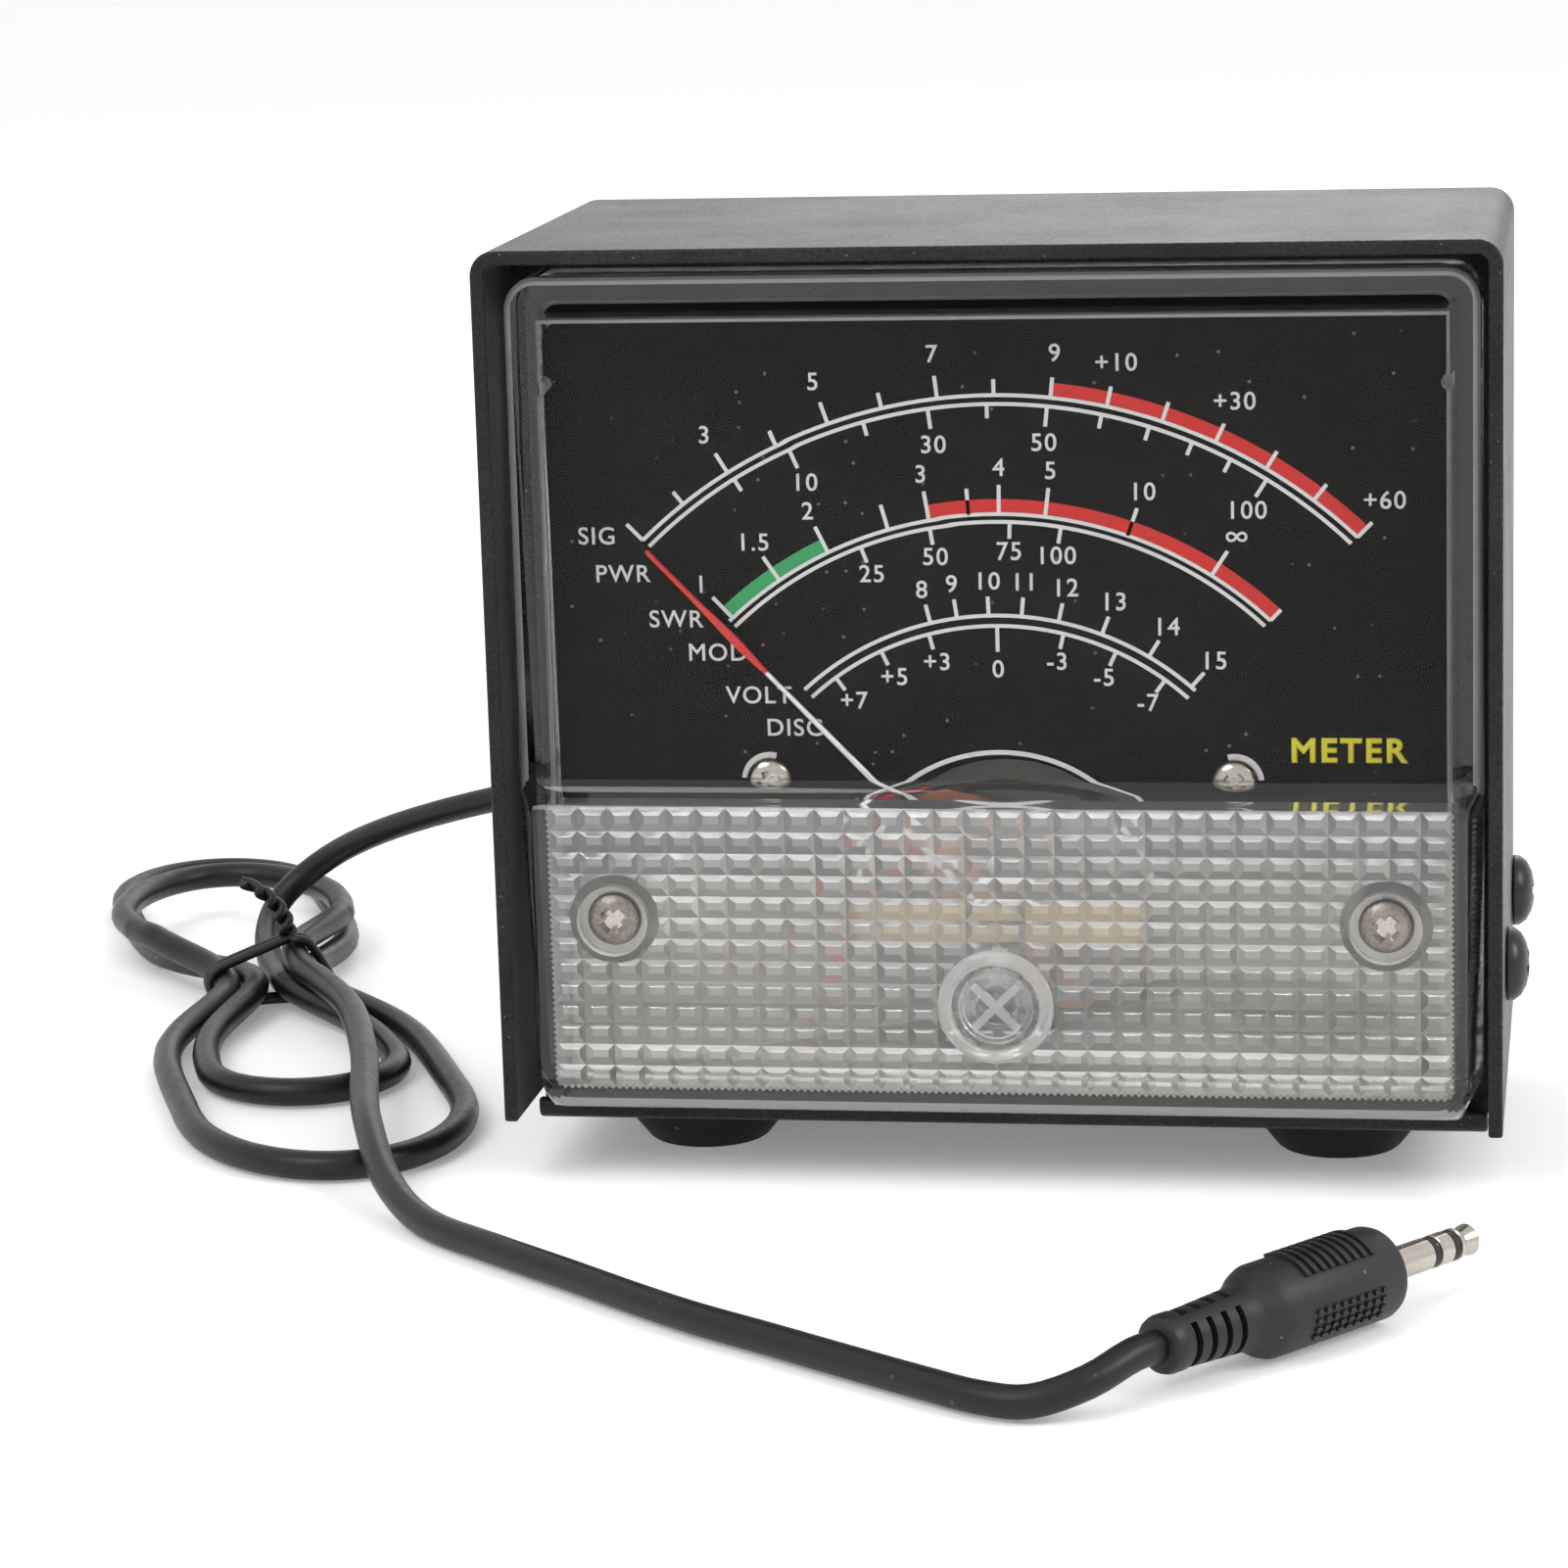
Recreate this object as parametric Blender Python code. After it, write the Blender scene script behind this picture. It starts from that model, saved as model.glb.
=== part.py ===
# Analogue panel meter in a folded sheet-metal case, with a tied lead and a three-pole plug.
# Metres, +Z up, front facing -Y, standing on its feet at z = 0.
import math

import bmesh
import bpy
from mathutils import Vector

# Clearance between pieces that touch
FIT = 0.0003

# Case
CASE_WIDTH = 0.114
CASE_DEPTH = 0.060
BODY_HEIGHT = 0.1028
COVER_SHEET = 0.0016
COVER_BEND = 0.0028
SKIRT_LIFT = 0.0024
CHASSIS_SHEET = 0.0012
CHASSIS_BEND = 0.0016
FLANGE_HEIGHT = 0.028
PANEL_RECESS = 0.014
PANEL_CORNER = 0.0016
REAR_RECESS = 0.0015
FOOT_HEIGHT = 0.0055
FOOT_TAPER = 0.00315
FOOT_LIP = 0.0009
FOOT_SIDE_INSET = 0.0195
FOOT_EDGE = 0.00065
FOOT_GAP = 0.0018

# Side screws of the cover
SIDE_SCREW_HEAD = 0.0043
SIDE_SCREW_DOME = 0.0024
SIDE_SCREW_RIM = 0.00084
SIDE_SCREW_SHANK = 0.0015
SIDE_SCREW_LENGTH = 0.0042
SIDE_SCREW_RISE = 0.0182
SIDE_SCREW_FRONT = 0.0175
SIDE_SCREW_REAR = 0.0060

# Clear window cover
METER_SIDE_GAP = 0.0025
METER_TOP_GAP = 0.0035
METER_LIFT = 0.0029
METER_CORNER = 0.0037
WINDOW_RECESS = 0.005
WINDOW_WALL = 0.002
RIM_WALL = 0.003
BLOCK_HEIGHT = 0.0355
BLOCK_PROUD = 0.0025
BLOCK_BEVEL = 0.0019
BLOCK_INSET = 0.0010
SHELF_WALL = 0.0016

# Window screws
WINDOW_SCREW_INSET = 0.0105
WINDOW_SCREW_RISE = 0.0228
WINDOW_SCREW_HEAD = 0.0031
WINDOW_SCREW_CROWN = 0.0022
WINDOW_SCREW_HEAD_HEIGHT = 0.0016
WINDOW_SCREW_SHANK = 0.0015
WINDOW_SCREW_LENGTH = 0.018
WINDOW_SINK_RADIUS = 0.0041
WINDOW_SINK_DEPTH = 0.0022
WINDOW_BOSS_RADIUS = 0.0052

# Moving-coil movement, from its pivot axis
PIVOT_RISE = 0.0225
SWEEP = math.radians(87.0)
CORE_RADIUS = 0.0095
CORE_LENGTH = 0.0078
CORE_POST_RADIUS = 0.0016
CORE_POST_X = 0.0062
COIL_GAP = 0.0008
COIL_BUILD = 0.0024
COIL_WIDTH = 0.005
COIL_BAR = 0.0012
COIL_DIAL_ROOM = 0.0024
COIL_FRONT_ROOM = 0.0012
COIL_REAR_ROOM = 0.0003
YOKE_GAP = 0.0010
YOKE_WALL = 0.0024
YOKE_LENGTH = 0.0124
REAR_GAP = 0.0030
BRIDGE_SHEET = 0.0013
BRIDGE_HEIGHT = 0.006
BRIDGE_LEG = 0.0024
BRIDGE_ROOM = 0.0015
JEWEL_NECK = 0.0013
JEWEL_HEAD = 0.0024
JEWEL_HEAD_HEIGHT = 0.0007
STAFF_RADIUS = 0.0008

# Pointer
POINTER_LENGTH = 0.0578
POINTER_SHEET = 0.0006
POINTER_HUB = 0.002
POINTER_ROOT = 0.0009
POINTER_WAIST = 0.0007
POINTER_BLADE = 0.0011
POINTER_TIP = 0.0005
POINTER_SILVER = 0.0330
POINTER_WIDEST = 0.0365
POINTER_LIFT = 0.0017

# Hairsprings
SPRING_WIRE = 0.00015
SPRING_INNER = 0.0017
SPRING_OUTER = 0.0045
SPRING_TURNS = 3
SPRING_POINTS = 12
SPRING_ROOM = 0.0018

# Zero adjuster and its arm
ADJUSTER_RISE = 0.0133
ADJUSTER_HEAD = 0.00435
ADJUSTER_HEAD_HEIGHT = 0.0007
ADJUSTER_BOSS = 0.00665
ADJUSTER_BOSS_PROUD = 0.0006
ADJUSTER_SHANK = 0.0024
ADJUSTER_COLLAR = 0.0032
ADJUSTER_COLLAR_HEIGHT = 0.0007
ADJUSTER_PIN = 0.0007
ADJUSTER_THROW = 0.0012
ARM_SHEET = 0.0008
ARM_ROOM = 0.0006
ARM_EYE = 0.0026
ARM_WIDTH = 0.0024
ARM_PRONG = 0.0012
ARM_END = 0.0017
ARM_SLOT_ROOM = 0.0012
ARM_TAB = 0.0007
ARM_TAB_HALF = 0.0008
ARM_TAB_ROOM = 0.0004
ARM_TAB_COIL_ROOM = 0.0015

# Dial
DIAL_SIDE_ROOM = 0.0004
DIAL_TOP_ROOM = 0.0030
DIAL_SHEET = 0.0007
DIAL_BOTTOM = 0.0061
DIAL_CORNER = 0.002
CUTOUT_RADIUS = 0.0177
DIAL_SCREW_INSET = 0.0245
DIAL_SCREW_RISE = 0.0147
DIAL_SCREW_HEAD = 0.00275
DIAL_SCREW_CROWN = 0.0019
DIAL_SCREW_HEAD_HEIGHT = 0.0013
DIAL_SCREW_SHANK = 0.0011
DIAL_SCREW_LENGTH = 0.006

# Meter base
BASE_SIDE_INSET = 0.0038
BASE_WALL = 0.0014
BASE_FLOOR = 0.002
BASE_FLANGE = 0.0018
BASE_FLANGE_SHEET = 0.002
BASE_POST = 0.0034
DIAL_POST = 0.0030
YOKE_POST = 0.0011
BASE_REAR_ROOM = 0.0020

# Terminals and inner wires
STUD_X = 0.016
STUD_RISE = 0.062
STUD_RADIUS = 0.0015
STUD_HEAD = 0.0026
STUD_HEAD_HEIGHT = 0.0012
STUD_LENGTH = 0.010
NUT_RADIUS = 0.0032
NUT_HEIGHT = 0.0024
WIRE_RADIUS = 0.0006
WIRE_SPACING = 0.0036
WIRE_DROP = 0.012
WIRE_BEND = 0.0015
WIRE_STEP = 0.003

# Cable grommet in the rear panel
GROMMET_X = -0.030
GROMMET_RISE = 0.0255
GROMMET_NECK = 0.0034
GROMMET_FLANGE = 0.0052
GROMMET_FLANGE_SHEET = 0.0018
GROMMET_INNER = 0.0044
GROMMET_TAIL = 0.0028
GROMMET_LENGTH = 0.009
GROMMET_STRAIGHT = 0.0044

# Lead, its hank and the twist tie
CORD_RADIUS = 0.00175
FLOOR_GAP = 0.0001
HANK_PLACE = Vector((-0.107, 0.051, 0.0))
HANK_TURN = math.radians(-68.0)
HANK_STEP = 0.0048
HANK_RADIUS = 0.0106
HANK_DRAW = 0.0085
HANK_WAIST = 0.018
HANK_REACH = (0.050, 0.074, 0.083, 0.056)
HANK_LAYER = 0.0043
HANK_LIFT = 0.0016
HANK_ENTRY = 0.014
HANK_EXIT = 0.014
HANK_END_STEPS = 8
HANK_RUN_SHARES = (0.0, 0.15, 0.35, 0.65)
HANK_CLIMB_SHARE = 0.25
LEAD_STRAIGHT = 0.0035
LEAD_SPACING = 0.00875
TIE_RADIUS = 0.0006
TIE_PITCH = 0.0026
TIE_TURNS = 2
TIE_POINTS = 20
TIE_ROOM = 0.0009
TIE_CORNER = 0.4
TIE_TAIL = 0.009

# Plug
PLUG_PLACE = Vector((0.0242, -0.0967, 0.0))
PLUG_TURN = math.radians(52.0)
PLUG_BODY_RADIUS = 0.0050
PLUG_BODY_LENGTH = 0.0185
PLUG_RELIEF_LENGTH = 0.0125
PLUG_RELIEF_RADIUS = 0.0034
PLUG_COLLAR_RADIUS = 0.0030
PLUG_COLLAR_LENGTH = 0.0020
PLUG_CONE_LENGTH = 0.0020
PLUG_SHAFT = 0.00175
PLUG_SLEEVE_LENGTH = 0.0078
PLUG_RING_LENGTH = 0.0017
PLUG_TIP_LENGTH = 0.0033
PLUG_TIP_NECK = 0.00126
PLUG_TIP_NECK_AT = 0.0010
PLUG_TIP_BULGE_AT = 0.0018
PLUG_TIP_END = 0.0008
PLUG_WASHER_LENGTH = 0.0007
PLUG_RELIEF_THROAT = 0.00235

# Points nearer than this are one point
MERGE = 0.000002

# A wound tube's gap is measured to what lies further along it than this many radii
GAP_REACH = 8

# Facets of round pieces
RING_STEPS = 32
ROUND_STEPS = 24
CUTOUT_STEPS = 20
SMALL_STEPS = 16
TINY_STEPS = 12
POST_STEPS = 8
HEX_STEPS = 6
BEND_STEPS = 4
ROUTE_STEPS = 16

# Places worked out from the sizes above
CASE_FRONT = -CASE_DEPTH / 2
CASE_BACK = CASE_DEPTH / 2
CASE_TOP = FOOT_HEIGHT + BODY_HEIGHT
SKIRT_BOTTOM = FOOT_HEIGHT + SKIRT_LIFT
CHASSIS_HALF = CASE_WIDTH / 2 - COVER_SHEET - FIT
PANEL_FRONT = CASE_FRONT + PANEL_RECESS
PANEL_BACK = PANEL_FRONT + CHASSIS_SHEET
PANEL_TOP = CASE_TOP - COVER_SHEET - FIT
REAR_BACK = CASE_BACK - REAR_RECESS
REAR_FRONT = REAR_BACK - CHASSIS_SHEET
FOOT_TOP_RADIUS = (REAR_BACK - PANEL_FRONT - 2 * FOOT_EDGE - FOOT_GAP) / 4
FOOT_BASE_RADIUS = FOOT_TOP_RADIUS - FOOT_TAPER
SIDE_SCREW_Z = FOOT_HEIGHT + SIDE_SCREW_RISE
METER_HALF = CASE_WIDTH / 2 - METER_SIDE_GAP
METER_BOTTOM = FOOT_HEIGHT + METER_LIFT
METER_TOP = CASE_TOP - METER_TOP_GAP
WINDOW_FRONT = CASE_FRONT + WINDOW_RECESS
WINDOW_BACK = PANEL_FRONT - FIT
BLOCK_FRONT = WINDOW_FRONT - BLOCK_PROUD
BLOCK_INNER = BLOCK_FRONT + WINDOW_WALL
BLOCK_TOP = METER_BOTTOM + BLOCK_HEIGHT
WINDOW_SCREW_X = METER_HALF - WINDOW_SCREW_INSET
WINDOW_SCREW_Z = METER_BOTTOM + WINDOW_SCREW_RISE
PIVOT_Z = METER_BOTTOM + PIVOT_RISE
DIAL_HALF = METER_HALF - RIM_WALL - DIAL_SIDE_ROOM
DIAL_TOP = METER_TOP - RIM_WALL - DIAL_TOP_ROOM - PIVOT_Z
DIAL_SCREW_X = DIAL_HALF - DIAL_SCREW_INSET
DIAL_SCREW_Z = PIVOT_Z + DIAL_SCREW_RISE
STUD_Z = METER_BOTTOM + STUD_RISE
BASE_HALF = METER_HALF - BASE_SIDE_INSET
BASE_BOTTOM = METER_BOTTOM + BASE_SIDE_INSET
BASE_TOP = METER_TOP - BASE_SIDE_INSET
BASE_FRONT = WINDOW_BACK
DIAL_BACK = BASE_FRONT - FIT
DIAL_FRONT = DIAL_BACK - DIAL_SHEET
POINTER_BACK = DIAL_FRONT - POINTER_LIFT
POINTER_FRONT = POINTER_BACK - POINTER_SHEET
COIL_FRONT = DIAL_BACK + COIL_DIAL_ROOM
CORE_FRONT = COIL_FRONT + COIL_BAR + COIL_FRONT_ROOM
CORE_BACK = CORE_FRONT + CORE_LENGTH
COIL_BACK = CORE_BACK + COIL_REAR_ROOM + COIL_BAR
YOKE_INNER = CORE_RADIUS + COIL_GAP + COIL_BUILD + YOKE_GAP
YOKE_OUTER = YOKE_INNER + YOKE_WALL
REAR_BRIDGE_FRONT = COIL_BACK + REAR_GAP
REAR_BRIDGE_BACK = REAR_BRIDGE_FRONT + BRIDGE_SHEET
YOKE_BACK = REAR_BRIDGE_FRONT - FIT
YOKE_FRONT = YOKE_BACK - YOKE_LENGTH
BASE_INNER = REAR_BRIDGE_BACK + BASE_REAR_ROOM
BASE_BACK = BASE_INNER + BASE_FLOOR
BRIDGE_BACK = POINTER_FRONT - BRIDGE_ROOM
BRIDGE_FRONT = BRIDGE_BACK - BRIDGE_SHEET
ARM_BACK = BRIDGE_FRONT - ARM_ROOM
ARM_FRONT = ARM_BACK - ARM_SHEET
JEWEL_FRONT = ARM_FRONT - FIT - JEWEL_HEAD_HEIGHT
ADJUSTER_Z = METER_BOTTOM + ADJUSTER_RISE
ADJUSTER_FACE = BLOCK_FRONT - ADJUSTER_BOSS_PROUD
ADJUSTER_SEAT = ADJUSTER_FACE + ADJUSTER_HEAD_HEIGHT + 2 * FIT
GROMMET_Z = FOOT_HEIGHT + GROMMET_RISE
GROMMET_END = REAR_BACK + FIT + GROMMET_LENGTH
CORD_Z = CORD_RADIUS + FLOOR_GAP


def clear_scene():
    for old in list(bpy.data.objects):
        bpy.data.objects.remove(old)


def finish(name, red, green, blue, roughness, metallic=0.0, clear=0.0):
    """A plain Principled material."""
    made = bpy.data.materials.new(name)
    made.use_nodes = True
    shader = made.node_tree.nodes["Principled BSDF"]
    shader.inputs["Base Color"].default_value = (red, green, blue, 1.0)
    shader.inputs["Roughness"].default_value = roughness
    shader.inputs["Metallic"].default_value = metallic
    shader.inputs["Transmission Weight"].default_value = clear
    return made


def add_object(name, bm, look=None, place=(0.0, 0.0, 0.0), parent=None):
    """Turn a bmesh into a named object, with its faces pointing out."""
    bmesh.ops.remove_doubles(bm, verts=bm.verts, dist=MERGE)
    bmesh.ops.recalc_face_normals(bm, faces=bm.faces)
    mesh = bpy.data.meshes.new(name)
    bm.to_mesh(mesh)
    bm.free()
    mesh.shade_smooth()
    mesh.set_sharp_from_angle(angle=math.radians(32.0))
    made = bpy.data.objects.new(name, mesh)
    bpy.context.collection.objects.link(made)
    made.location = place
    made.parent = parent
    if look is not None:
        mesh.materials.append(look)
    return made


def add_empty(name, place, turn=0.0):
    """An unrendered frame that carries the pieces of one moving body."""
    made = bpy.data.objects.new(name, None)
    bpy.context.collection.objects.link(made)
    made.location = place
    made.rotation_euler = (0.0, turn, 0.0)
    return made


def arc(x, z, radius, start, end, steps):
    """Points of an arc in the XZ plane, angles in degrees from +X."""
    points = []
    for step in range(steps + 1):
        angle = math.radians(start + (end - start) * step / steps)
        points.append((x + radius * math.cos(angle), z + radius * math.sin(angle)))
    return points


def rounded(x0, z0, x1, z1, radius, steps=BEND_STEPS):
    """A rectangle in the XZ plane with round corners."""
    points = arc(x1 - radius, z0 + radius, radius, -90, 0, steps)
    points += arc(x1 - radius, z1 - radius, radius, 0, 90, steps)
    points += arc(x0 + radius, z1 - radius, radius, 90, 180, steps)
    points += arc(x0 + radius, z0 + radius, radius, 180, 270, steps)
    return points


def prism(outline, y0, y1):
    """An outline in the XZ plane, extruded along Y."""
    bm = bmesh.new()
    corners = [bm.verts.new((x, y0, z)) for x, z in outline]
    face = bm.faces.new(corners)
    swept = bmesh.ops.extrude_face_region(bm, geom=[face])
    moved = [item for item in swept["geom"] if isinstance(item, bmesh.types.BMVert)]
    bmesh.ops.translate(bm, verts=moved, vec=(0.0, y1 - y0, 0.0))
    return bm


def box(x0, x1, y0, y1, z0, z1):
    return prism([(x0, z0), (x1, z0), (x1, z1), (x0, z1)], y0, y1)


def turned(profile, steps=ROUND_STEPS, ring=False):
    """A profile of (radius, y) points, spun about the Y axis."""
    bm = bmesh.new()
    corners = [bm.verts.new((radius, y, 0.0)) for radius, y in profile]
    edges = [bm.edges.new(pair) for pair in zip(corners, corners[1:])]
    if ring:
        edges.append(bm.edges.new((corners[-1], corners[0])))
    bmesh.ops.spin(bm, geom=corners + edges, cent=(0, 0, 0), axis=(0, 1, 0),
                   angle=math.tau, steps=steps, use_merge=True)
    bmesh.ops.remove_doubles(bm, verts=bm.verts, dist=MERGE)
    return bm


def rod(radius, y0, y1, steps=SMALL_STEPS):
    return turned([(0.0, y0), (radius, y0), (radius, y1), (0.0, y1)], steps)


def shifted(bm, x=0.0, y=0.0, z=0.0):
    bmesh.ops.translate(bm, verts=bm.verts, vec=(x, y, z))
    return bm


def combine(body, bm, operation):
    """Join a shape to a body, or cut it away, and keep the result as the body's mesh."""
    tool = add_object("tool", bm, place=body.location)
    change = body.modifiers.new("change", "BOOLEAN")
    change.operation = operation
    change.object = tool
    bpy.context.view_layer.update()
    seen = body.evaluated_get(bpy.context.evaluated_depsgraph_get())
    mesh = bpy.data.meshes.new_from_object(seen)
    whole = bmesh.new()
    whole.from_mesh(mesh)
    bmesh.ops.remove_doubles(whole, verts=whole.verts, dist=MERGE)
    whole.to_mesh(mesh)
    whole.free()
    body.modifiers.remove(change)
    body.data = mesh
    bpy.data.objects.remove(tool)


def join(body, bm):
    combine(body, bm, "UNION")


def cut(body, bm):
    combine(body, bm, "DIFFERENCE")


def smooth_route(points, spacing):
    """Evenly spaced points on a smooth curve through a route's own points, with straight ends."""
    route = [Vector(point) for point in points]
    fine = []
    for first, start, end, last in zip(route, route[1:], route[2:], route[3:]):
        for step in range(ROUTE_STEPS):
            t = step / ROUTE_STEPS
            fine.append(0.5 * (2 * start + (end - first) * t
                               + (2 * first - 5 * start + 4 * end - last) * t * t
                               + (3 * start - first - 3 * end + last) * t ** 3))
    fine.append(route[-2])
    length = sum((b - a).length for a, b in zip(fine, fine[1:]))
    count = max(2, round(length / spacing))
    spaced = [fine[0]]
    passed = 0.0
    for a, b in zip(fine, fine[1:]):
        stretch = (b - a).length
        while len(spaced) < count and passed + stretch >= length * len(spaced) / count:
            spaced.append(a.lerp(b, (length * len(spaced) / count - passed) / stretch))
        passed += stretch
    return [route[0]] + spaced + [route[-2], route[-1]]


def tube(name, points, radius, sides_level, look, parent=None):
    """A round tube with closed ends along a row of points."""
    curve = bpy.data.curves.new(name, "CURVE")
    curve.dimensions = "3D"
    curve.bevel_depth = radius
    curve.bevel_resolution = sides_level
    curve.use_fill_caps = True
    line = curve.splines.new("POLY")
    line.points.add(len(points) - 1)
    for spot, point in zip(line.points, points):
        spot.co = (point[0], point[1], point[2], 1.0)
    line.use_smooth = True
    curve.materials.append(look)
    made = bpy.data.objects.new(name, curve)
    bpy.context.collection.objects.link(made)
    made.parent = parent
    return made


def least_gap(points, radius, reach):
    """The least gap of a tube to itself, leaving out what lies within a reach along it."""
    along = [0.0]
    for a, b in zip(points, points[1:]):
        along.append(along[-1] + (Vector(b) - Vector(a)).length)
    least = math.inf
    for i, first in enumerate(points):
        for j in range(i + 1, len(points)):
            if along[j] - along[i] > reach:
                least = min(least, (Vector(points[j]) - Vector(first)).length - 2 * radius)
    return least


def dense(points, parts=6):
    """Points on the straight pieces between a tube's own points, for measuring."""
    rows = []
    for a, b in zip(points, points[1:]):
        rows += [Vector(a).lerp(Vector(b), k / parts) for k in range(parts)]
    return rows + [Vector(points[-1])]


clear_scene()

black_coat = finish("black powder coat", 0.030, 0.029, 0.029, 0.55)
black_rubber = finish("black rubber", 0.012, 0.012, 0.012, 0.75)
black_steel = finish("blackened steel", 0.020, 0.020, 0.020, 0.40, 1.0)
clear_plastic = finish("clear plastic", 0.92, 0.94, 0.93, 0.05, 0.0, 1.0)
cream_plastic = finish("cream plastic", 0.72, 0.68, 0.58, 0.45)
dial_black = finish("dial black", 0.016, 0.016, 0.016, 0.45)
nickel = finish("nickel plate", 0.66, 0.64, 0.60, 0.25, 1.0)
brass = finish("brass", 0.70, 0.52, 0.22, 0.30, 1.0)
iron = finish("soft iron", 0.12, 0.12, 0.12, 0.50, 1.0)
magnet_grey = finish("magnet", 0.09, 0.09, 0.10, 0.45, 1.0)
copper = finish("copper winding", 0.62, 0.28, 0.12, 0.35, 1.0)
bronze = finish("spring bronze", 0.60, 0.40, 0.18, 0.30, 1.0)
aluminium = finish("aluminium", 0.75, 0.75, 0.76, 0.30, 1.0)
steel = finish("steel", 0.55, 0.55, 0.56, 0.25, 1.0)
pointer_red = finish("pointer red", 0.62, 0.05, 0.03, 0.45)
red_sleeve = finish("red wire", 0.55, 0.03, 0.02, 0.40)
black_sleeve = finish("black wire", 0.015, 0.015, 0.015, 0.40)
black_cord = finish("black cord", 0.014, 0.014, 0.014, 0.45)
black_mould = finish("black moulding", 0.013, 0.013, 0.013, 0.40)
black_nylon = finish("insulator", 0.02, 0.02, 0.02, 0.40)


def side_screw_places():
    """The four screw axes as (side, y), two on each side."""
    front = CASE_FRONT + SIDE_SCREW_FRONT
    rear = CASE_BACK - SIDE_SCREW_REAR
    return [(side, y) for side in (-1, 1) for y in (front, rear)]


def across(radius, y, z):
    """A rod along X that runs right through the case."""
    bm = rod(radius, -CASE_WIDTH, CASE_WIDTH)
    bmesh.ops.rotate(bm, verts=bm.verts, cent=(0, 0, 0),
                     matrix=Vector((0, 1, 0)).rotation_difference(Vector((1, 0, 0))).to_matrix())
    return shifted(bm, 0.0, y, z)


# Top cover: one sheet folded into a U, open in front, behind and below
cover_half = CASE_WIDTH / 2
bend_x = cover_half - COVER_BEND
bend_z = CASE_TOP - COVER_BEND
outer_bend = arc(bend_x, bend_z, COVER_BEND, 0, 90, BEND_STEPS)
outer_bend += arc(-bend_x, bend_z, COVER_BEND, 90, 180, BEND_STEPS)
inner_radius = COVER_BEND - COVER_SHEET
inner_bend = arc(-bend_x, bend_z, inner_radius, 180, 90, BEND_STEPS)
inner_bend += arc(bend_x, bend_z, inner_radius, 90, 0, BEND_STEPS)
cover_outline = [(cover_half, SKIRT_BOTTOM)] + outer_bend + [(-cover_half, SKIRT_BOTTOM)]
cover_outline += [(COVER_SHEET - cover_half, SKIRT_BOTTOM)] + inner_bend
cover_outline += [(cover_half - COVER_SHEET, SKIRT_BOTTOM)]
top_cover = add_object("top_cover", prism(cover_outline, CASE_FRONT, CASE_BACK), black_coat)

# Chassis: bottom with side flanges, a front panel for the meter and a rear panel
fold_x = CHASSIS_HALF - CHASSIS_BEND
fold_z = FOOT_HEIGHT + CHASSIS_BEND
left_bend = arc(-fold_x, fold_z, CHASSIS_BEND, 180, 270, BEND_STEPS)
right_bend = arc(fold_x, fold_z, CHASSIS_BEND, 270, 360, BEND_STEPS)
fold_inside = CHASSIS_BEND - CHASSIS_SHEET
right_fold = arc(fold_x, fold_z, fold_inside, 360, 270, BEND_STEPS)
left_fold = arc(-fold_x, fold_z, fold_inside, 270, 180, BEND_STEPS)
flange_top = FOOT_HEIGHT + FLANGE_HEIGHT
tray_outline = [(-CHASSIS_HALF, flange_top)] + left_bend + right_bend + [(CHASSIS_HALF, flange_top)]
tray_outline += [(CHASSIS_HALF - CHASSIS_SHEET, flange_top)] + right_fold + left_fold
tray_outline += [(CHASSIS_SHEET - CHASSIS_HALF, flange_top)]
chassis = add_object("chassis", prism(tray_outline, PANEL_FRONT, REAR_BACK), black_coat)
panel_outline = rounded(-CHASSIS_HALF, FOOT_HEIGHT, CHASSIS_HALF, PANEL_TOP, CHASSIS_BEND)
join(chassis, prism(panel_outline, PANEL_FRONT, PANEL_BACK))
join(chassis, prism(panel_outline, REAR_FRONT, REAR_BACK))
opening = rounded(-BASE_HALF - FIT, BASE_BOTTOM - FIT, BASE_HALF + FIT, BASE_TOP + FIT, PANEL_CORNER)
cut(chassis, prism(opening, PANEL_FRONT - FIT, PANEL_BACK + FIT))
grommet_hole = rod(GROMMET_NECK + FIT, REAR_FRONT - CHASSIS_SHEET, REAR_BACK + CHASSIS_SHEET)
cut(chassis, shifted(grommet_hole, GROMMET_X, 0.0, GROMMET_Z))

# Cover screws: pan heads through the cover's sides into the chassis flanges
for number, (side, y) in enumerate(side_screw_places(), start=1):
    if side > 0:
        cut(top_cover, across(SIDE_SCREW_SHANK + FIT, y, SIDE_SCREW_Z))
        cut(chassis, across(SIDE_SCREW_SHANK + FIT, y, SIDE_SCREW_Z))
    crown = [(0.0, SIDE_SCREW_DOME)]
    for lean in (math.radians(30), math.radians(60), math.radians(90)):
        rise = SIDE_SCREW_RIM + (SIDE_SCREW_DOME - SIDE_SCREW_RIM) * math.cos(lean)
        crown.append((SIDE_SCREW_HEAD * math.sin(lean), rise))
    shank = [(SIDE_SCREW_HEAD, 0.0), (SIDE_SCREW_SHANK, 0.0), (SIDE_SCREW_SHANK, -SIDE_SCREW_LENGTH),
             (0.0, -SIDE_SCREW_LENGTH)]
    screw = turned(crown + shank, SMALL_STEPS)
    made = add_object("cover_screw_%d" % number, screw, black_steel,
                      (side * (cover_half + FIT), y, SIDE_SCREW_Z))
    made.rotation_euler = (0.0, 0.0, -side * math.pi / 2)

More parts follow.
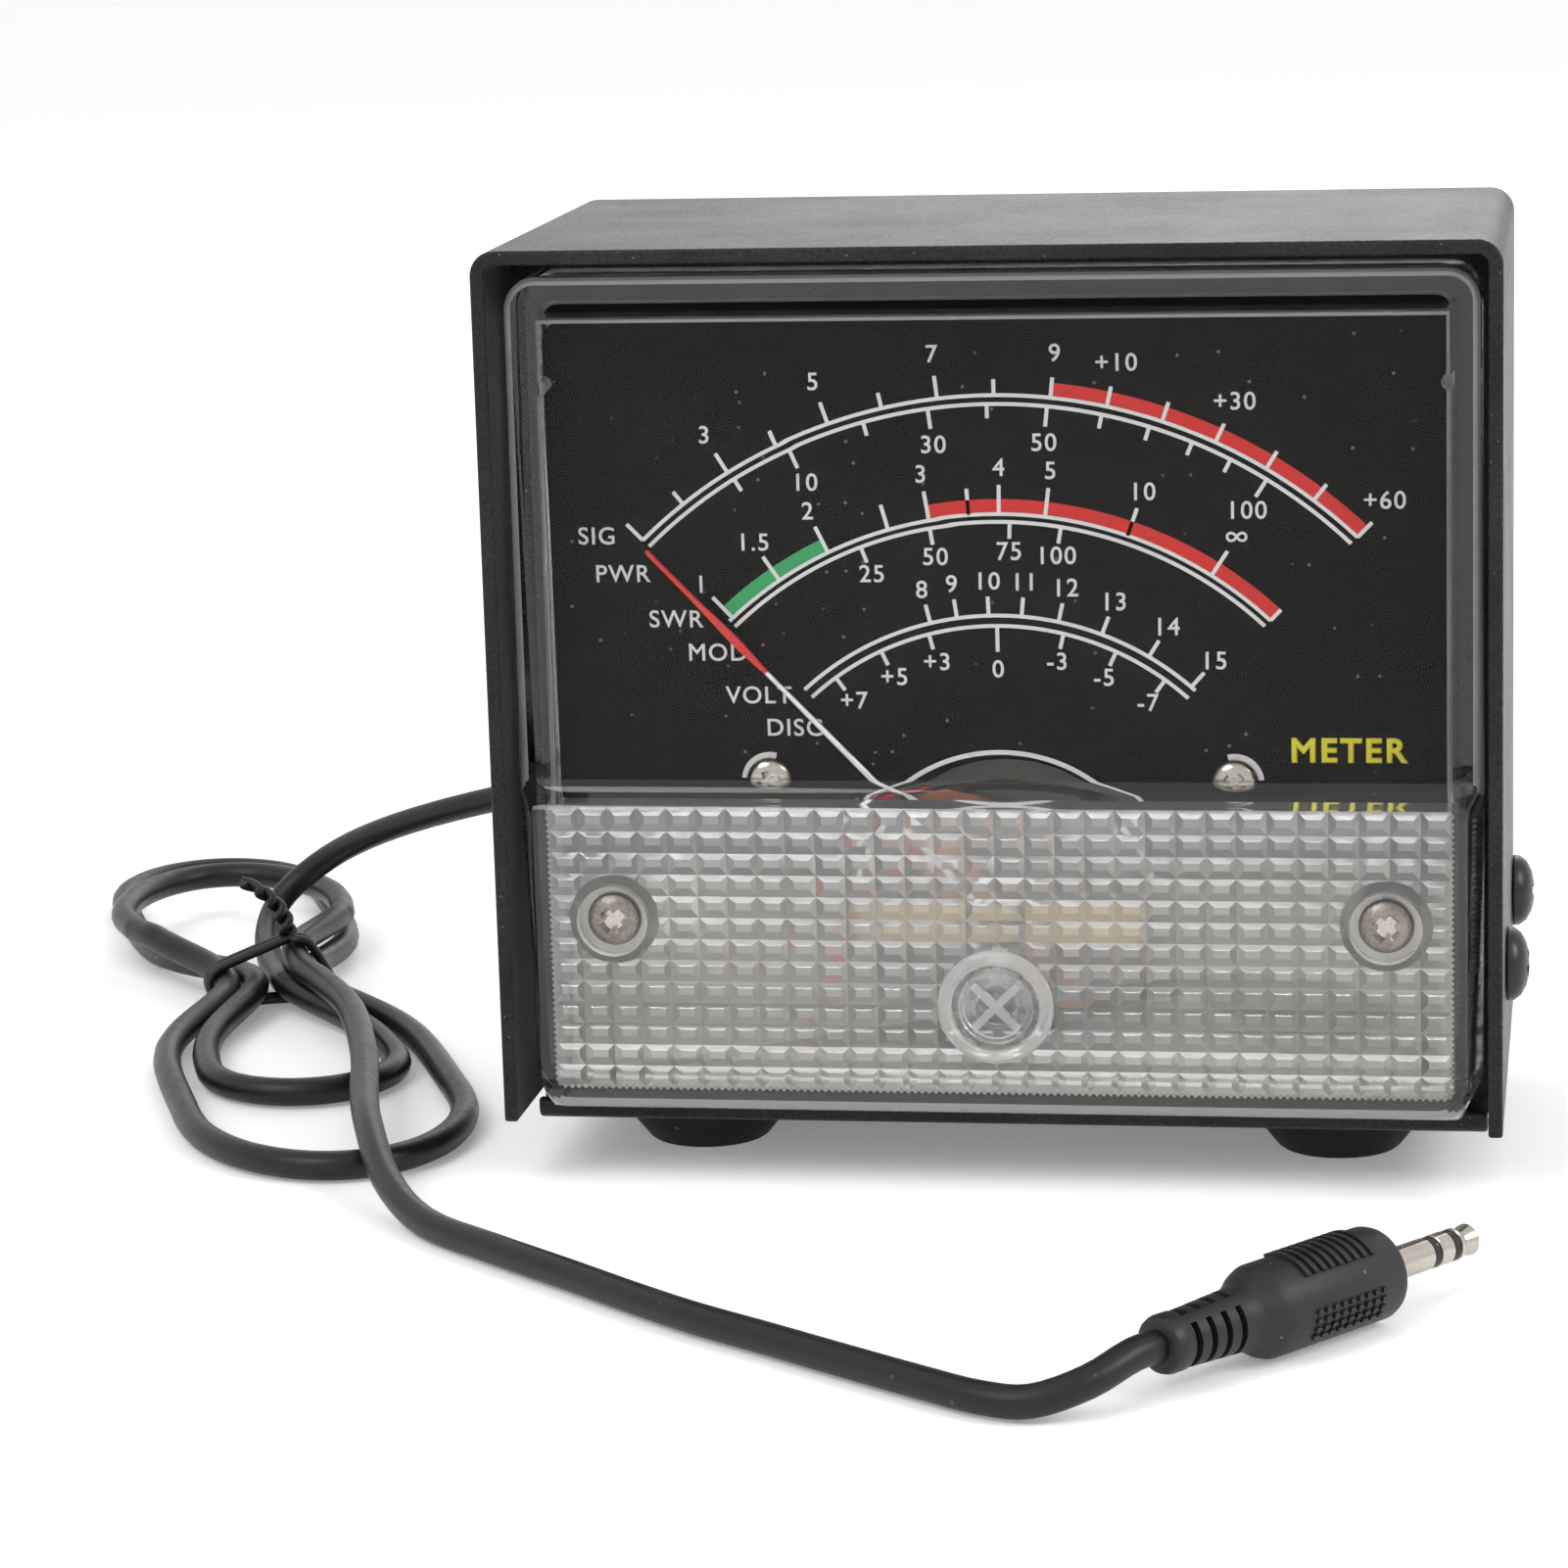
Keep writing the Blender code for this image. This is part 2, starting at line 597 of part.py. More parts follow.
# Feet: four round tapered rubber feet stuck under the chassis
foot_inset = FOOT_EDGE + FOOT_TOP_RADIUS
foot_rows = (PANEL_FRONT + foot_inset, REAR_BACK - foot_inset)
foot_places = [(side, y) for side in (-1, 1) for y in foot_rows]
for number, (side, y) in enumerate(foot_places, start=1):
    foot_top = FOOT_HEIGHT - FIT
    foot = turned([(0.0, 0.0), (FOOT_BASE_RADIUS, 0.0), (FOOT_TOP_RADIUS, foot_top - FOOT_LIP),
                   (FOOT_TOP_RADIUS, foot_top), (0.0, foot_top)])
    made = add_object("foot_%d" % number, foot, black_rubber,
                      (side * (cover_half - FOOT_SIDE_INSET), y, 0.0))
    made.rotation_euler = (math.pi / 2, 0.0, 0.0)

# Meter base: a moulded tray behind the panel, with posts for the cover, dial and movement
base_outline = rounded(-BASE_HALF, BASE_BOTTOM, BASE_HALF, BASE_TOP, PANEL_CORNER)
meter_base = add_object("meter_base", prism(base_outline, BASE_FRONT, BASE_BACK), cream_plastic)
flange_outline = rounded(-BASE_HALF - BASE_FLANGE, BASE_BOTTOM - BASE_FLANGE, BASE_HALF + BASE_FLANGE,
                         BASE_TOP + BASE_FLANGE, PANEL_CORNER)
join(meter_base, prism(flange_outline, PANEL_BACK + FIT, PANEL_BACK + FIT + BASE_FLANGE_SHEET))
tray_inside = rounded(-BASE_HALF + BASE_WALL, BASE_BOTTOM + BASE_WALL, BASE_HALF - BASE_WALL,
                      BASE_TOP - BASE_WALL, PANEL_CORNER)
cut(meter_base, prism(tray_inside, BASE_FRONT - FIT, BASE_INNER))
post_ring = YOKE_OUTER - YOKE_WALL / 2
diagonal = post_ring * math.sqrt(0.5)
inside_floor = BASE_INNER + BASE_FLOOR / 2
for side in (-1, 1):
    post = rod(BASE_POST, BASE_FRONT, inside_floor)
    join(meter_base, shifted(post, side * WINDOW_SCREW_X, 0.0, WINDOW_SCREW_Z))
    post = rod(DIAL_POST, BASE_FRONT, inside_floor)
    join(meter_base, shifted(post, side * DIAL_SCREW_X, 0.0, DIAL_SCREW_Z))
    for up in (-1, 1):
        post = rod(YOKE_POST, YOKE_BACK + FIT, inside_floor, POST_STEPS)
        join(meter_base, shifted(post, side * diagonal, 0.0, PIVOT_Z + up * diagonal))
    hole = rod(WINDOW_SCREW_SHANK + FIT, BASE_FRONT - FIT, BASE_FRONT + WINDOW_SCREW_LENGTH)
    cut(meter_base, shifted(hole, side * WINDOW_SCREW_X, 0.0, WINDOW_SCREW_Z))
    hole = rod(DIAL_SCREW_SHANK + FIT, BASE_FRONT - FIT, BASE_FRONT + DIAL_SCREW_LENGTH, TINY_STEPS)
    cut(meter_base, shifted(hole, side * DIAL_SCREW_X, 0.0, DIAL_SCREW_Z))
    hole = rod(STUD_RADIUS + FIT, BASE_INNER - FIT, BASE_BACK + FIT, TINY_STEPS)
    cut(meter_base, shifted(hole, side * STUD_X, 0.0, STUD_Z))

# Terminals: brass studs through the base floor, each with a nut
stud_back = BASE_INNER - FIT
stud_front = stud_back - STUD_HEAD_HEIGHT
stud_end = BASE_BACK + STUD_LENGTH
nut_front = BASE_BACK + FIT
for side, hand in ((-1, "left"), (1, "right")):
    stud = turned([(0.0, stud_front), (STUD_HEAD, stud_front), (STUD_HEAD, stud_back),
                   (STUD_RADIUS, stud_back), (STUD_RADIUS, stud_end), (0.0, stud_end)], TINY_STEPS)
    add_object("terminal_stud_" + hand, stud, brass, (side * STUD_X, 0.0, STUD_Z))
    nut = rod(NUT_RADIUS, nut_front, nut_front + NUT_HEIGHT, HEX_STEPS)
    nut_object = add_object("terminal_nut_" + hand, nut, brass, (side * STUD_X, 0.0, STUD_Z))
    cut(nut_object, rod(STUD_RADIUS + FIT, BASE_BACK, BASE_BACK + STUD_LENGTH, TINY_STEPS))

# Movement: yoke ring, core magnet and the two bridges, fixed to the base
yoke = turned([(YOKE_INNER, YOKE_FRONT), (YOKE_OUTER, YOKE_FRONT), (YOKE_OUTER, YOKE_BACK),
               (YOKE_INNER, YOKE_BACK)], RING_STEPS, ring=True)
pivot_place = (0.0, 0.0, PIVOT_Z)
add_object("yoke_ring", yoke, iron, pivot_place)
core = rod(CORE_RADIUS, CORE_FRONT, CORE_BACK, RING_STEPS)
core_magnet = add_object("core_magnet", core, magnet_grey, pivot_place)
for side in (-1, 1):
    post = rod(CORE_POST_RADIUS, CORE_BACK - CORE_POST_RADIUS, YOKE_BACK, TINY_STEPS)
    join(core_magnet, shifted(post, side * CORE_POST_X))
bridge_low = -BRIDGE_HEIGHT / 2
bridge_high = BRIDGE_HEIGHT / 2
bridge = box(-YOKE_OUTER, YOKE_OUTER, BRIDGE_FRONT, BRIDGE_BACK, bridge_low, bridge_high)
front_bridge = add_object("front_bridge", bridge, brass, pivot_place)
leg_front = BRIDGE_BACK - BRIDGE_SHEET / 2
leg_back = YOKE_FRONT - FIT
for leg_left in (-YOKE_OUTER, YOKE_OUTER - BRIDGE_LEG):
    join(front_bridge, box(leg_left, leg_left + BRIDGE_LEG, leg_front, leg_back, bridge_low, bridge_high))
cut(front_bridge, rod(JEWEL_NECK + FIT, BRIDGE_FRONT - BRIDGE_SHEET, BRIDGE_BACK + BRIDGE_SHEET))
bridge = box(-YOKE_OUTER, YOKE_OUTER, REAR_BRIDGE_FRONT, REAR_BRIDGE_BACK, bridge_low, bridge_high)
rear_bridge = add_object("rear_bridge", bridge, brass, pivot_place)
cut(rear_bridge, rod(JEWEL_NECK + FIT, REAR_BRIDGE_FRONT - BRIDGE_SHEET, REAR_BRIDGE_BACK + BRIDGE_SHEET))

# Jewel screws: they carry the staff's points, one in each bridge
jewel_seat = ARM_FRONT - FIT
jewel = turned([(0.0, JEWEL_FRONT), (JEWEL_HEAD, JEWEL_FRONT), (JEWEL_HEAD, jewel_seat),
                (JEWEL_NECK, jewel_seat), (JEWEL_NECK, BRIDGE_BACK), (0.0, BRIDGE_BACK)], SMALL_STEPS)
add_object("jewel_screw_front", jewel, brass, pivot_place)
rear_neck = REAR_BRIDGE_FRONT - FIT
rear_head = REAR_BRIDGE_BACK + FIT
rear_end = rear_head + JEWEL_HEAD_HEIGHT
jewel = turned([(0.0, rear_neck), (JEWEL_NECK, rear_neck), (JEWEL_NECK, rear_head),
                (JEWEL_HEAD, rear_head), (JEWEL_HEAD, rear_end), (0.0, rear_end)], SMALL_STEPS)
add_object("jewel_screw_rear", jewel, brass, pivot_place)

# Moving coil, staff halves and pointer: one body that turns about the pivot, at its left rest
movement = add_empty("movement_axis", pivot_place, -SWEEP / 2)
coil_inner = CORE_RADIUS + COIL_GAP
coil_outer = coil_inner + COIL_BUILD
coil = box(-COIL_WIDTH / 2, COIL_WIDTH / 2, COIL_FRONT, COIL_BACK, -coil_outer, coil_outer)
moving_coil = add_object("moving_coil", coil, copper)
cut(moving_coil, box(-COIL_WIDTH, COIL_WIDTH, COIL_FRONT + COIL_BAR, COIL_BACK - COIL_BAR,
                     -coil_inner, coil_inner))
moving_coil.parent = movement
staff_tip = BRIDGE_BACK + FIT
staff_root = COIL_FRONT - FIT
staff = turned([(0.0, staff_tip), (STAFF_RADIUS, staff_tip + STAFF_RADIUS),
                (STAFF_RADIUS, staff_root), (0.0, staff_root)], TINY_STEPS)
add_object("staff_front", staff, steel, parent=movement)
staff_tip = rear_neck - FIT
staff_root = COIL_BACK + FIT
staff = turned([(0.0, staff_root), (STAFF_RADIUS, staff_root),
                (STAFF_RADIUS, staff_tip - STAFF_RADIUS), (0.0, staff_tip)], TINY_STEPS)
add_object("staff_rear", staff, steel, parent=movement)
root_angle = math.degrees(math.acos(POINTER_ROOT / 2 / POINTER_HUB))
hub = arc(0.0, 0.0, POINTER_HUB, 180 - root_angle, 360 + root_angle, CUTOUT_STEPS)
right_edge = [(POINTER_WAIST / 2, POINTER_SILVER), (POINTER_BLADE / 2, POINTER_WIDEST),
              (POINTER_TIP / 2, POINTER_LENGTH)]
left_edge = [(-x, z) for x, z in reversed(right_edge)]
pointer = add_object("pointer", prism(hub + right_edge + left_edge, POINTER_FRONT, POINTER_BACK),
                     pointer_red)
cut(pointer, rod(STAFF_RADIUS + FIT, POINTER_FRONT - FIT, POINTER_BACK + FIT, TINY_STEPS))
pointer.parent = movement

# Zero arm: pivoted on the front jewel screw, forked round the adjuster's pin
arm_axis = add_empty("zero_arm_axis", pivot_place)
pin_drop = PIVOT_Z - ADJUSTER_Z + ADJUSTER_THROW
arm_end = -pin_drop - ARM_END
slot_half = ADJUSTER_PIN + FIT
fork_half = slot_half + ARM_PRONG
fork_top = -pin_drop + ADJUSTER_PIN + ARM_SLOT_ROOM
zero_arm = add_object("zero_arm", rod(ARM_EYE, ARM_FRONT, ARM_BACK), aluminium)
join(zero_arm, box(-ARM_WIDTH / 2, ARM_WIDTH / 2, ARM_FRONT, ARM_BACK, fork_top, -ARM_EYE / 2))
join(zero_arm, box(-fork_half, fork_half, ARM_FRONT, ARM_BACK, arm_end, fork_top + ARM_PRONG))
tab_top = -SPRING_OUTER - SPRING_WIRE - ARM_TAB_ROOM
tab_end = COIL_FRONT - ARM_TAB_COIL_ROOM
join(zero_arm, box(-ARM_TAB_HALF, ARM_TAB_HALF, (ARM_FRONT + ARM_BACK) / 2, tab_end,
                   tab_top - ARM_TAB, tab_top))
cut(zero_arm, rod(JEWEL_NECK + FIT, ARM_FRONT - FIT, ARM_BACK + FIT))
cut(zero_arm, box(-slot_half, slot_half, ARM_FRONT - FIT, ARM_BACK + FIT, arm_end - FIT, fork_top))
zero_arm.parent = arm_axis

# Hairsprings: flat spirals, the front one held by the zero arm, the rear one by the rear bridge
spring_front_y = COIL_FRONT - SPRING_ROOM
spring_rear_y = (COIL_BACK + REAR_BRIDGE_FRONT) / 2


def hairspring(y):
    """A flat spiral that ends at the bottom of its outer turn."""
    count = SPRING_TURNS * SPRING_POINTS
    rows = []
    for step in range(count + 1):
        share = step / count
        angle = -math.pi / 2 - math.tau * SPRING_TURNS * (1 - share)
        radius = SPRING_INNER + (SPRING_OUTER - SPRING_INNER) * share
        rows.append((radius * math.cos(angle), y, radius * math.sin(angle)))
    return rows


tube("hairspring_front", hairspring(spring_front_y), SPRING_WIRE, 0, bronze, arm_axis)
rear_spring = tube("hairspring_rear", hairspring(spring_rear_y), SPRING_WIRE, 0, bronze)
rear_spring.location = pivot_place
spring_gap = least_gap(dense(hairspring(0.0)), SPRING_WIRE, SPRING_OUTER)
print("least gap in a hairspring: %.2f mm" % (spring_gap * 1000))

# Dial plate, with a round cut-out over the movement, and its two screws
cutout_start = math.degrees(math.asin(DIAL_BOTTOM / CUTOUT_RADIUS))
corner_x = DIAL_HALF - DIAL_CORNER
corner_z = DIAL_TOP - DIAL_CORNER
dial_outline = arc(0.0, 0.0, CUTOUT_RADIUS, 180 - cutout_start, cutout_start, CUTOUT_STEPS)
dial_outline += [(DIAL_HALF, DIAL_BOTTOM)]
dial_outline += arc(corner_x, corner_z, DIAL_CORNER, 0, 90, BEND_STEPS)
dial_outline += arc(-corner_x, corner_z, DIAL_CORNER, 90, 180, BEND_STEPS)
dial_outline += [(-DIAL_HALF, DIAL_BOTTOM)]
dial_plate = add_object("dial_plate", prism(dial_outline, DIAL_FRONT, DIAL_BACK), dial_black, pivot_place)
dial_seat = DIAL_FRONT - FIT
dial_crown = dial_seat - DIAL_SCREW_HEAD_HEIGHT
dial_screw_end = dial_seat + DIAL_SCREW_LENGTH
for side, hand in ((-1, "left"), (1, "right")):
    hole = rod(DIAL_SCREW_SHANK + FIT, DIAL_FRONT - FIT, DIAL_BACK + FIT, TINY_STEPS)
    cut(dial_plate, shifted(hole, side * DIAL_SCREW_X, 0.0, DIAL_SCREW_RISE))
    screw = turned([(0.0, dial_crown), (DIAL_SCREW_CROWN, dial_crown),
                    (DIAL_SCREW_HEAD, (dial_crown + dial_seat) / 2), (DIAL_SCREW_HEAD, dial_seat),
                    (DIAL_SCREW_SHANK, dial_seat), (DIAL_SCREW_SHANK, dial_screw_end),
                    (0.0, dial_screw_end)], SMALL_STEPS)
    add_object("dial_screw_" + hand, screw, nickel, (side * DIAL_SCREW_X, 0.0, DIAL_SCREW_Z))

# Window cover: clear, open behind, with a proud lower block, two screw bosses and the adjuster boss
window_outline = rounded(-METER_HALF, METER_BOTTOM, METER_HALF, METER_TOP, METER_CORNER)
window_cover = add_object("window_cover", prism(window_outline, WINDOW_FRONT, WINDOW_BACK), clear_plastic)
block_half = METER_HALF - BLOCK_INSET
block_back = WINDOW_FRONT + WINDOW_WALL / 2
block_bottom = METER_BOTTOM + BLOCK_INSET
block = box(-block_half, block_half, BLOCK_FRONT, block_back, block_bottom, BLOCK_TOP + BLOCK_BEVEL)
for corner in block.verts:
    if corner.co.y < WINDOW_FRONT and corner.co.z > BLOCK_TOP:
        corner.co.z = BLOCK_TOP
join(window_cover, block)
adjuster_boss = rod(ADJUSTER_BOSS, ADJUSTER_FACE, BLOCK_INNER, ROUND_STEPS)
join(window_cover, shifted(adjuster_boss, 0.0, 0.0, ADJUSTER_Z))
window_inside = rounded(-METER_HALF + RIM_WALL, METER_BOTTOM + RIM_WALL, METER_HALF - RIM_WALL,
                        METER_TOP - RIM_WALL, METER_CORNER - RIM_WALL / 2)
cut(window_cover, prism(window_inside, WINDOW_FRONT + WINDOW_WALL, WINDOW_BACK + FIT))
inside_half = block_half - RIM_WALL
block_inside = box(-inside_half, inside_half, BLOCK_INNER, WINDOW_FRONT + WINDOW_WALL + FIT,
                   block_bottom + RIM_WALL, BLOCK_TOP - SHELF_WALL)
cut(window_cover, block_inside)
sink_floor = BLOCK_FRONT + WINDOW_SINK_DEPTH
window_seat = sink_floor - FIT
window_crown = window_seat - WINDOW_SCREW_HEAD_HEIGHT
window_screw_end = window_seat + WINDOW_SCREW_LENGTH
for side, hand in ((-1, "left"), (1, "right")):
    screw_x = side * WINDOW_SCREW_X
    boss = rod(WINDOW_BOSS_RADIUS, BLOCK_FRONT + WINDOW_WALL / 2, WINDOW_BACK - FIT)
    join(window_cover, shifted(boss, screw_x, 0.0, WINDOW_SCREW_Z))
    sink = rod(WINDOW_SINK_RADIUS, BLOCK_FRONT - FIT, sink_floor)
    cut(window_cover, shifted(sink, screw_x, 0.0, WINDOW_SCREW_Z))
    hole = rod(WINDOW_SCREW_SHANK + FIT, BLOCK_FRONT - FIT, WINDOW_BACK + FIT)
    cut(window_cover, shifted(hole, screw_x, 0.0, WINDOW_SCREW_Z))
    screw = turned([(0.0, window_crown), (WINDOW_SCREW_CROWN, window_crown),
                    (WINDOW_SCREW_HEAD, (window_crown + window_seat) / 2), (WINDOW_SCREW_HEAD, window_seat),
                    (WINDOW_SCREW_SHANK, window_seat), (WINDOW_SCREW_SHANK, window_screw_end),
                    (0.0, window_screw_end)], SMALL_STEPS)
    add_object("window_screw_" + hand, screw, nickel, (screw_x, 0.0, WINDOW_SCREW_Z))
pocket = rod(ADJUSTER_HEAD + FIT, ADJUSTER_FACE - FIT, ADJUSTER_SEAT, ROUND_STEPS)
cut(window_cover, shifted(pocket, 0.0, 0.0, ADJUSTER_Z))
adjuster_hole = rod(ADJUSTER_SHANK + FIT, ADJUSTER_FACE - FIT, BLOCK_INNER + FIT)
cut(window_cover, shifted(adjuster_hole, 0.0, 0.0, ADJUSTER_Z))

# Zero adjuster: a clear screw in the block's boss, with an off-centre pin behind
head_front = ADJUSTER_FACE + FIT
head_back = ADJUSTER_SEAT - FIT
clip_front = BLOCK_INNER + FIT
clip_back = clip_front + ADJUSTER_COLLAR_HEIGHT
stem = turned([(0.0, head_front), (ADJUSTER_HEAD, head_front), (ADJUSTER_HEAD, head_back),
               (ADJUSTER_SHANK, head_back), (ADJUSTER_SHANK, clip_front), (ADJUSTER_COLLAR, clip_front),
               (ADJUSTER_COLLAR, clip_back), (0.0, clip_back)])
zero_adjuster = add_object("zero_adjuster", stem, clear_plastic, (0.0, 0.0, ADJUSTER_Z))
pin = rod(ADJUSTER_PIN, clip_front + FIT, ARM_BACK + FIT, TINY_STEPS)
join(zero_adjuster, shifted(pin, 0.0, 0.0, -ADJUSTER_THROW))

# Cable grommet, pressed into the rear panel
flange_front = REAR_BACK + FIT
flange_back = flange_front + GROMMET_FLANGE_SHEET
collar_back = REAR_FRONT - FIT
collar_front = collar_back - GROMMET_FLANGE_SHEET
grommet = turned([(0.0, collar_front), (GROMMET_INNER, collar_front), (GROMMET_INNER, collar_back),
                  (GROMMET_NECK, collar_back), (GROMMET_NECK, flange_front), (GROMMET_FLANGE, flange_front),
                  (GROMMET_FLANGE, flange_back), (GROMMET_NECK, flange_back), (GROMMET_TAIL, GROMMET_END),
                  (0.0, GROMMET_END)])
add_object("cable_grommet", grommet, black_rubber, (GROMMET_X, 0.0, GROMMET_Z))

# Inner wires: from the terminal studs to the grommet
wire_start = BASE_BACK + STUD_LENGTH + FIT + WIRE_RADIUS
wire_end = collar_front - FIT
wire_middle = (wire_start + wire_end) / 2
for side, hand, look in ((-1, "red", red_sleeve), (1, "black", black_sleeve)):
    start_x = side * STUD_X
    stop_x = GROMMET_X + side * WIRE_SPACING / 2
    route = [(start_x, wire_start, STUD_Z), (start_x, wire_start, STUD_Z - WIRE_DROP),
             ((start_x + stop_x) / 2, wire_start, (STUD_Z + GROMMET_Z) / 2),
             (stop_x, wire_start, GROMMET_Z + WIRE_DROP), (stop_x, wire_middle, GROMMET_Z + WIRE_BEND),
             (stop_x, wire_end, GROMMET_Z)]
    tube("inner_wire_" + hand, smooth_route(route, WIRE_STEP), WIRE_RADIUS, 1, look)

# Hank: one unbroken tube, two long loops drawn in at the waist, the last half turn on a second layer
along = Vector((math.cos(HANK_TURN), math.sin(HANK_TURN), 0.0))
aside = Vector((-math.sin(HANK_TURN), math.cos(HANK_TURN), 0.0))


def hank_point(reach_along, offset, layer):
    """A point of the hank from its waist: along its length, aside, and in its layer."""
    waist = math.exp(-(reach_along / HANK_WAIST) ** 2)
    drawn = offset - math.copysign(HANK_DRAW * waist, offset)
    height = CORD_Z + HANK_LIFT * waist + layer * HANK_LAYER
    return HANK_PLACE + along * reach_along + aside * drawn + Vector((0.0, 0.0, height))


def hank_lobe(index):
    """Half a turn: out along one run, round the end and back to the waist."""
    way = 1 if index % 2 == 0 else -1
    rows = []
    straight = HANK_REACH[index] - HANK_RADIUS - HANK_STEP * index / 2
    last = index == len(HANK_REACH) - 1
    steps = [share / 3 for share in HANK_RUN_SHARES]
    steps += [1 / 3 + step / HANK_END_STEPS / 3 for step in range(HANK_END_STEPS + 1)]
    steps += [1 - share / 3 for share in reversed(HANK_RUN_SHARES[1:])]
    for share in steps:
        spread = HANK_RADIUS + HANK_STEP * (index + share) / 2
        layer = 0.0
        if last:
            climbed = max(0.0, share - HANK_CLIMB_SHARE) / (1 - HANK_CLIMB_SHARE)
            spread = HANK_RADIUS + HANK_STEP * (index - 2 * climbed) / 2
            layer = min(1.0, share / HANK_CLIMB_SHARE)
        if share <= 1 / 3:
            rows.append((way * straight * share * 3, way * spread, layer))
        elif share < 2 / 3:
            angle = math.pi * (share - 1 / 3) * 3
            rows.append((way * (straight + spread * math.sin(angle)), way * spread * math.cos(angle), layer))
        else:
            rows.append((way * straight * (1 - share) * 3, -way * spread, layer))
    return rows


entry_offset = HANK_RADIUS - HANK_DRAW * (1 - math.exp(-(HANK_ENTRY / HANK_WAIST) ** 2))
hank_rows = [(-HANK_ENTRY, entry_offset, 0.0)]
for index in range(len(HANK_REACH)):
    hank_rows += hank_lobe(index)
exit_spread = HANK_RADIUS + HANK_STEP * (len(HANK_REACH) - 3) / 2
hank_rows += [(0.0, exit_spread, 1.0), (HANK_EXIT / 2, exit_spread, 1.0), (HANK_EXIT, exit_spread, 1.0)]
hank_points = [hank_point(*row) for row in hank_rows]
tube("lead_hank", hank_points, CORD_RADIUS, 1, black_cord)
hank_gap = least_gap(dense(hank_points), CORD_RADIUS, GAP_REACH * CORD_RADIUS)
print("least gap in the hank: %.2f mm" % (hank_gap * 1000))

# Twist tie: a plastic-sheathed wire wound twice round the waist, its ends standing up
waist_right = HANK_RADIUS + HANK_STEP - HANK_DRAW + CORD_RADIUS
waist_left = HANK_RADIUS + 1.5 * HANK_STEP - HANK_DRAW + CORD_RADIUS
tie_middle = (waist_right - waist_left) / 2
tie_half = (waist_right + waist_left) / 2 + TIE_RADIUS + TIE_ROOM
tie_low = TIE_RADIUS + FLOOR_GAP
tie_high = CORD_Z + HANK_LIFT + HANK_LAYER + CORD_RADIUS + TIE_RADIUS + TIE_ROOM
tie_centre = (tie_low + tie_high) / 2
tie_rise = (tie_high - tie_low) / 2


def softened(value):
    """Push a sine towards its ends, so that the winding's section is a rounded rectangle."""
    return math.copysign(abs(value) ** TIE_CORNER, value) if abs(value) > 1e-9 else 0.0


def tie_point(reach_along, offset, height):
    return HANK_PLACE + along * reach_along + aside * offset + Vector((0.0, 0.0, height))


tie_start = -TIE_PITCH * TIE_TURNS / 2
tie_rows = [tie_point(tie_start, tie_middle + TIE_TAIL / 3, tie_high + TIE_TAIL),
            tie_point(tie_start, tie_middle + TIE_TAIL / 6, tie_high + TIE_TAIL / 2)]
for step in range(TIE_TURNS * TIE_POINTS + 1):
    angle = math.pi / 2 + math.tau * step / TIE_POINTS
    tie_rows.append(tie_point(tie_start + TIE_PITCH * step / TIE_POINTS,
                              tie_middle + tie_half * softened(math.cos(angle)),
                              tie_centre + tie_rise * softened(math.sin(angle))))
tie_rows += [tie_point(-tie_start, tie_middle + TIE_TAIL / 6, tie_high + TIE_TAIL / 2),
             tie_point(-tie_start, tie_middle + TIE_TAIL / 3, tie_high + TIE_TAIL)]
tube("twist_tie", tie_rows, TIE_RADIUS, 1, black_mould)
tie_gap = least_gap(dense(tie_rows), TIE_RADIUS, GAP_REACH * TIE_RADIUS)
print("least gap in the twist tie: %.2f mm" % (tie_gap * 1000))

# Lead from the grommet round to the hank
hank_back = (hank_points[0] - hank_points[1]).normalized()
hank_start = hank_points[0] + hank_back * FIT
rear_route = [(GROMMET_X, GROMMET_END + FIT, GROMMET_Z),
              (GROMMET_X, GROMMET_END + GROMMET_STRAIGHT, GROMMET_Z),
              (-0.0340, 0.0500, 0.0308), (-0.0440, 0.0570, 0.0302), (-0.0580, 0.0620, 0.0290),
              (-0.0720, 0.0670, 0.0262), (-0.0860, 0.0725, 0.0222), (-0.0980, 0.0790, 0.0175),
              (-0.1070, 0.0845, 0.0125), (-0.1132, 0.0840, 0.0075), (-0.1144, 0.0785, 0.0040),
              hank_start + hank_back * LEAD_STRAIGHT, hank_start]
tube("lead_rear", smooth_route(rear_route, LEAD_SPACING), CORD_RADIUS, 2, black_cord)

# Lead from the hank, over its ends, along the floor and up to the plug
plug_height = PLUG_BODY_RADIUS + FLOOR_GAP
plug_way = Vector((math.cos(PLUG_TURN), math.sin(PLUG_TURN), 0.0))
plug_start = PLUG_PLACE + Vector((0.0, 0.0, plug_height))
hank_on = (hank_points[-1] - hank_points[-2]).normalized()
hank_end = hank_points[-1] + hank_on * FIT
front_route = [hank_end, hank_end + hank_on * LEAD_STRAIGHT,
               (-0.0879, 0.0264, 0.0063), (-0.0824, 0.0049, 0.0061), (-0.0780, -0.0128, 0.0061),
               (-0.0741, -0.0263, 0.0061), (-0.0689, -0.0393, 0.0036), (-0.0622, -0.0495, CORD_Z),
               (-0.0520, -0.0590, CORD_Z), (-0.0420, -0.0675, CORD_Z), (-0.0328, -0.0755, CORD_Z),
               (-0.0254, -0.0815, CORD_Z), (-0.0165, -0.0877, CORD_Z), (-0.0077, -0.0940, CORD_Z),
               (0.0009, -0.1000, CORD_Z), (0.0072, -0.1040, CORD_Z), (0.0125, -0.1055, 0.0021),
               (0.0180, -0.1036, 0.0036),
               plug_start - plug_way * LEAD_STRAIGHT, plug_start - plug_way * FIT]
tube("lead_front", smooth_route(front_route, LEAD_SPACING), CORD_RADIUS, 2, black_cord)

